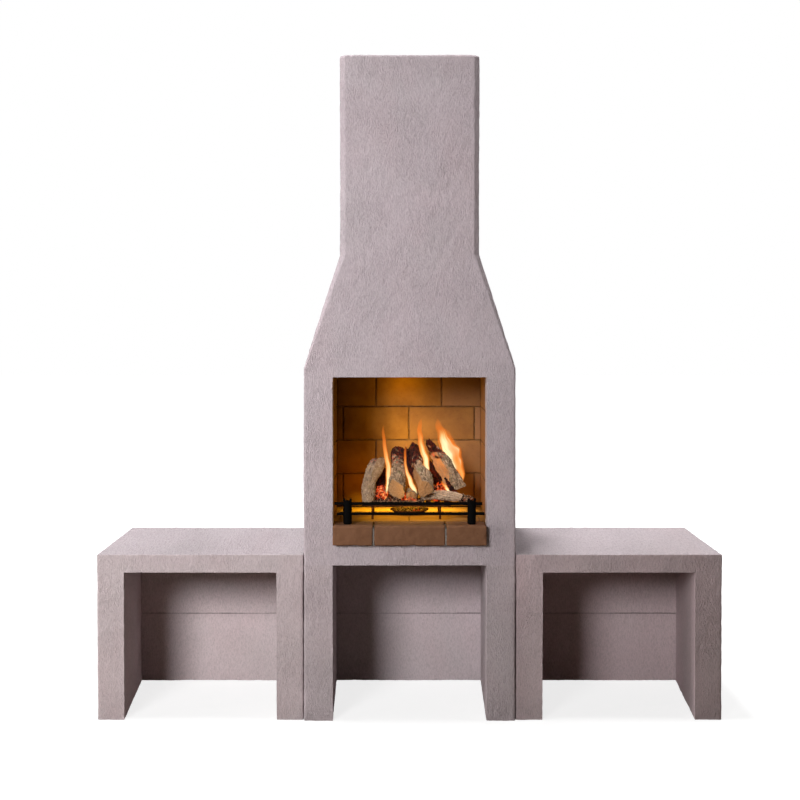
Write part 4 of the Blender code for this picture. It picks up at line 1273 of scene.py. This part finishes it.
# each flame: the path of its middle, its half widths from foot to tip, its seed and its heat
flames = {
    "flame_left": (
        seenPath((385.4, 494, -0.130), (388.6, 475, -0.130), (385.0, 448, -0.130), (383.6, 424, -0.130)),
        (0.0054, 0.0095, 0.0102, 0.0094, 0.0078, 0.0062, 0.0046), 1, 1.0),
    "flame_middle": (
        seenPath((417.2, 494, -0.150), (409.0, 478, -0.130), (405.3, 463, -0.120), (407.0, 443, -0.110)),
        (0.0066, 0.0115, 0.0100, 0.0062, 0.0052, 0.0048, 0.0030), 2, 1.0),
    "flame_tall": (
        seenPath((428.4, 473, -0.110), (425.4, 459, -0.105), (420.2, 438, -0.100), (421.8, 418, -0.100)),
        (0.0056, 0.0128, 0.0134, 0.0117, 0.0106, 0.0092, 0.0060), 3, 1.0),
    "flame_large_core": (
        seenPath((458.4, 471, 0.020), (453.6, 458, 0.020), (445.0, 441, 0.020), (437.4, 418, 0.020)),
        (0.0110, 0.0320, 0.0370, 0.0300, 0.0220, 0.0155, 0.0090), 8, 2.6),
    "flame_large_right": (
        seenPath((462.8, 483, 0.012), (459.2, 466, 0.012), (453.4, 449, 0.012), (445.0, 428, 0.012)),
        (0.0055, 0.0145, 0.0210, 0.0235, 0.0215, 0.0150, 0.0085), 5, 0.35),
    "flame_small": (
        seenPath((449.5, 492, -0.100), (446.5, 488, -0.100), (440.5, 480.5, -0.095)),
        (0.0050, 0.0080, 0.0070, 0.0050, 0.0030), 6, 1.0),
}


def flameMaterial():
    # across runs from -1 to 1 over a flame, along from its foot to its tip; it is clear where streaks
    # fray its edge and towards its tip, and hottest in the middle of its foot
    look = flameLook
    made, wiring, shader = newMaterial("flame", 1.0, 0.0)
    place, heat = wiring.value("flamePlace", "Vector"), wiring.value("hotness")
    parts = wiring.add("SeparateXYZ", Vector=place)
    across, along = parts.outputs["X"], parts.outputs["Z"]
    streaks = wiring.noise(wiring.scaled(place, (3.4, 3.4, 0.75)), 1.6, 3.0, 0.55)
    core = wiring.oneLess(wiring.times(across, across))
    edge = wiring.calc("DIVIDE", core, wiring.between(heat, 0.35, 1.0, 1.0, 0.5), clamp=True)
    ragged = wiring.plus(core, wiring.between(streaks, 0.28, 0.72, -0.42, 0.24))
    fade = wiring.times(wiring.between(along, 0.45, 1.0, 1.0, 0.0), edge)
    alpha = wiring.times(wiring.between(ragged, 0.0, 0.72), fade)
    foot = wiring.between(along, 0.0, 0.10, 0.0, 1.0)
    wiring.join(wiring.times(alpha, foot), shader.inputs["Alpha"])
    hot = wiring.times(wiring.between(ragged, 0.35, 0.95), wiring.between(along, 0.20, 0.82, 1.0, 0.0))
    hot = wiring.times(hot, heat)
    colour = wiring.layered(look["cool"], (wiring.between(hot, 0.06, 0.55), look["warm"]),
                            (wiring.between(hot, 0.35, 0.95), look["hot"]))
    wiring.join(colour, shader.inputs["Emission Color"])
    shader.inputs["Base Color"].default_value = (0, 0, 0, 1)
    shader.inputs["Emission Strength"].default_value = look["strength"]
    return made


flameColour = flameMaterial()


def flame(name, path, halfWidths, seed, heat):
    # a flat tube along a path: half width(along) x (cos, thin sin), with a wavering edge
    rows, columns = 60, 20
    curve, places = smoothPath(path, rows)
    share = places / places[-1]
    ahead, across, back = framesAlong(curve, (0, 1, 0))
    tips = smoothStep(share, -0.001, 0.08) * smoothStep(1 - share, -0.001, 0.10)
    width = np.interp(share, np.linspace(0, 1, len(halfWidths)), halfWidths) * np.sqrt(np.clip(tips, 0.0004, 1))
    waver = 0.10 * np.sin(share * 17 + seed) + 0.06 * np.sin(share * 31 + seed * 2)
    turns = np.linspace(0, 2 * np.pi, columns, endpoint=False)
    cos, sin = np.cos(turns)[None, :], np.sin(turns)[None, :]
    centre = curve + across * (waver * width)[:, None]
    wide, deep = cos * width[:, None], sin * flameLook["thin"] * width[:, None]
    rings = centre[:, None] + across[:, None] * wide[..., None] + back[:, None] * deep[..., None]
    points, faces = closedTube(rings)
    made = makeMesh(name, points, faces, flameColour)
    inside = [np.broadcast_to(values, (rows, columns)) for values in (cos, sin + seed, share[:, None])]
    poles = [[0, seed, 0], [0, seed, 1]]
    flamePlace = np.concatenate([np.stack(inside, axis=-1).reshape(-1, 3), poles])
    keepValue(made, "flamePlace", flamePlace, "FLOAT_VECTOR")
    keepValue(made, "hotness", np.full(len(points), heat))
    made.visible_shadow = False
    putInPlace(made)


def lightFlames():
    for name, values in flames.items():
        flame(name, *values)


lightFlames()
print("fireplace: flames lit")


studio = {
    "ambient": (0.030, 0.021, 0.010),
    "floorDark": (0.140, 0.118, 0.085),
    "floorNear": 0.80,  # how bright the floor is seen beside the fireplace, before the lamps add to it
    "floorFade": (1.2, 3.2),  # metres over which it goes white
    "floorLit": (0.30, 0.30, 0.30),
    "keyPlace": (-2.06, -5.0, 2.25),
    "keyAim": (-1.27, -0.28, 1.59),
    "keyPower": 1265,
    "keyCone": 65,
    "keyRadius": 0.8,
}
# flat lamps: place, aim, width, height, power
flatLamps = {
    "side": ((-5.6, -2.4, 1.3), (0, 0, 1.0), 2.0, 2.4, 62),
    "rim": ((-5.7, -0.8, 1.4), (0, 0, 1.4), 1.2, 2.4, 105),
    "overhead": ((-0.46, -0.05, 7.0), (-0.2, 0, 0.5), 1.6, 0.6, 330),
    "right": ((3.0, -0.3, 4.5), (0.8, 0, 0.6), 1.5, 1.5, 30),
    "rear left": ((-3.0, 4.0, 3.0), (0, 0.3, 0.9), 2.0, 2.0, 100),
    "rear right": ((3.2, 3.6, 2.6), (0, 0.3, 0.9), 2.0, 2.0, 100),
}
# warm lamps in the fire: place, radius, power, colour
fireLamps = (
    ((-0.010, 0.070, 0.905), 0.045, 0.47, (1.0, 0.65, 0.0)),
    ((0.085, 0.060, 0.870), 0.045, 0.23, (1.0, 0.61, 0.035)),
    ((-0.018, 0.088, 1.078), 0.030, 0.33, (1.0, 0.56, 0.0)),
    ((-0.020, -0.225, 0.735), 0.020, 0.10, (1.0, 0.62, 0.065)),
    ((-0.172, 0.055, 0.740), 0.030, 0.21, (1.0, 0.42, 0.020)),
    ((0.062, -0.104, 0.812), 0.012, 0.19, (1.0, 0.42, 0.012)),
)
# the glow that falls on the floor bricks: place, aim, width, height, power, colour, spread in degrees
grateLamps = {
    "under the grate": ((-0.01, -0.090, 0.682), (-0.01, -0.089, 0.640), 0.30, 0.20, 0.42, (1.0, 0.70, 0.05), 180),
    "behind the grate": ((-0.012, 0.080, 0.720), (-0.012, 0.081, 0.640), 0.38, 0.09, 1.02, (1.0, 0.80, 0.05), 122),
}


def cameraOnly(wiring, seen, other, output):
    # one shader where the camera, a reflection or glass looks, the other for the light that bounces
    path = wiring.add("LightPath").outputs
    direct = path["Is Camera Ray"]
    for key in ("Is Glossy Ray", "Is Transmission Ray"):
        direct = wiring.calc("MAXIMUM", direct, path[key])
    mixed = wiring.add("MixShader", i0=direct, i1=other.outputs[0], i2=seen.outputs[0])
    wiring.add(output, Surface=mixed.outputs[0])


def makeFloor():
    points = np.array([(-30, -30, 0), (30, -30, 0), (30, 30, 0), (-30, 30, 0)], float)
    material = bpy.data.materials.new("floor")
    material.use_nodes = True
    material.node_tree.nodes.clear()
    wiring = Wiring(material.node_tree)
    distance = wiring.add("VectorMath", dict(operation="LENGTH"), i0=wiring.place()).outputs["Value"]
    farness = wiring.between(distance, *studio["floorFade"], studio["floorNear"], 1.0)
    glow = wiring.add("Emission", Color=wiring.grey(farness))
    lit = wiring.add("BsdfDiffuse", Color=studio["floorLit"])
    seen = wiring.add("AddShader", i0=glow.outputs[0], i1=lit.outputs[0])
    cameraOnly(wiring, seen, wiring.add("BsdfDiffuse", Color=studio["floorDark"]), "OutputMaterial")
    floor = makeMesh("floor", points, np.array([[0, 1, 2, 3]]), material)


def makeWorld():
    world = bpy.data.worlds.new("studio")
    scene.world = world
    world.use_nodes = True
    world.node_tree.nodes.clear()
    wiring = Wiring(world.node_tree)
    white, dim = (wiring.add("Background", Color=colour) for colour in ((1, 1, 1), studio["ambient"]))
    cameraOnly(wiring, white, dim, "OutputWorld")


def hang(name, data, place, target=None):
    # puts a lamp or the camera in its place, turned so that it looks at the target
    made = bpy.data.objects.new(name, data)
    made.location = place
    if target:
        direction = np.array(target, float) - np.array(place, float)
        tilt = math.acos(-direction[2] / np.linalg.norm(direction))
        made.rotation_euler = (tilt, 0, math.atan2(-direction[0], direction[1]))
    scene.collection.objects.link(made)
    return made


def flatLamp(name, place, target, width, height, power, colour=(1, 1, 1), spread=180):
    data = bpy.data.lights.new(name, "AREA")
    data.shape = "RECTANGLE"
    data.size, data.size_y = width, height
    data.energy = power
    data.color = colour
    data.spread = math.radians(spread)
    hang(name, data, place, target)


def makeLamps():
    data = bpy.data.lights.new("key", "SPOT")
    data.energy = studio["keyPower"]
    data.spot_size = math.radians(studio["keyCone"])
    data.spot_blend = 1.0
    data.shadow_soft_size = studio["keyRadius"]
    hang("key", data, studio["keyPlace"], studio["keyAim"])
    for name, values in flatLamps.items():
        flatLamp(name, *values)
    for number, (place, radius, power, colour) in enumerate(fireLamps):
        data = bpy.data.lights.new(f"fire {number}", "POINT")
        data.energy = power
        data.shadow_soft_size = radius
        data.color = colour
        hang(f"fire {number}", data, place)
    for name, values in grateLamps.items():
        flatLamp(name, *values)


def makeCamera():
    data = bpy.data.cameras.new("camera")
    data.sensor_width = 36
    data.lens = camera["focal"] * data.sensor_width / 800
    data.shift_y = camera["shiftY"]
    made = hang("camera", data, camera["place"])
    made.rotation_euler = (math.pi / 2 - camera["tilt"], 0, 0)
    scene.camera = made


makeFloor()
makeWorld()
makeLamps()
makeCamera()
scene.view_settings.view_transform = "Standard"
print("fireplace: stage set")
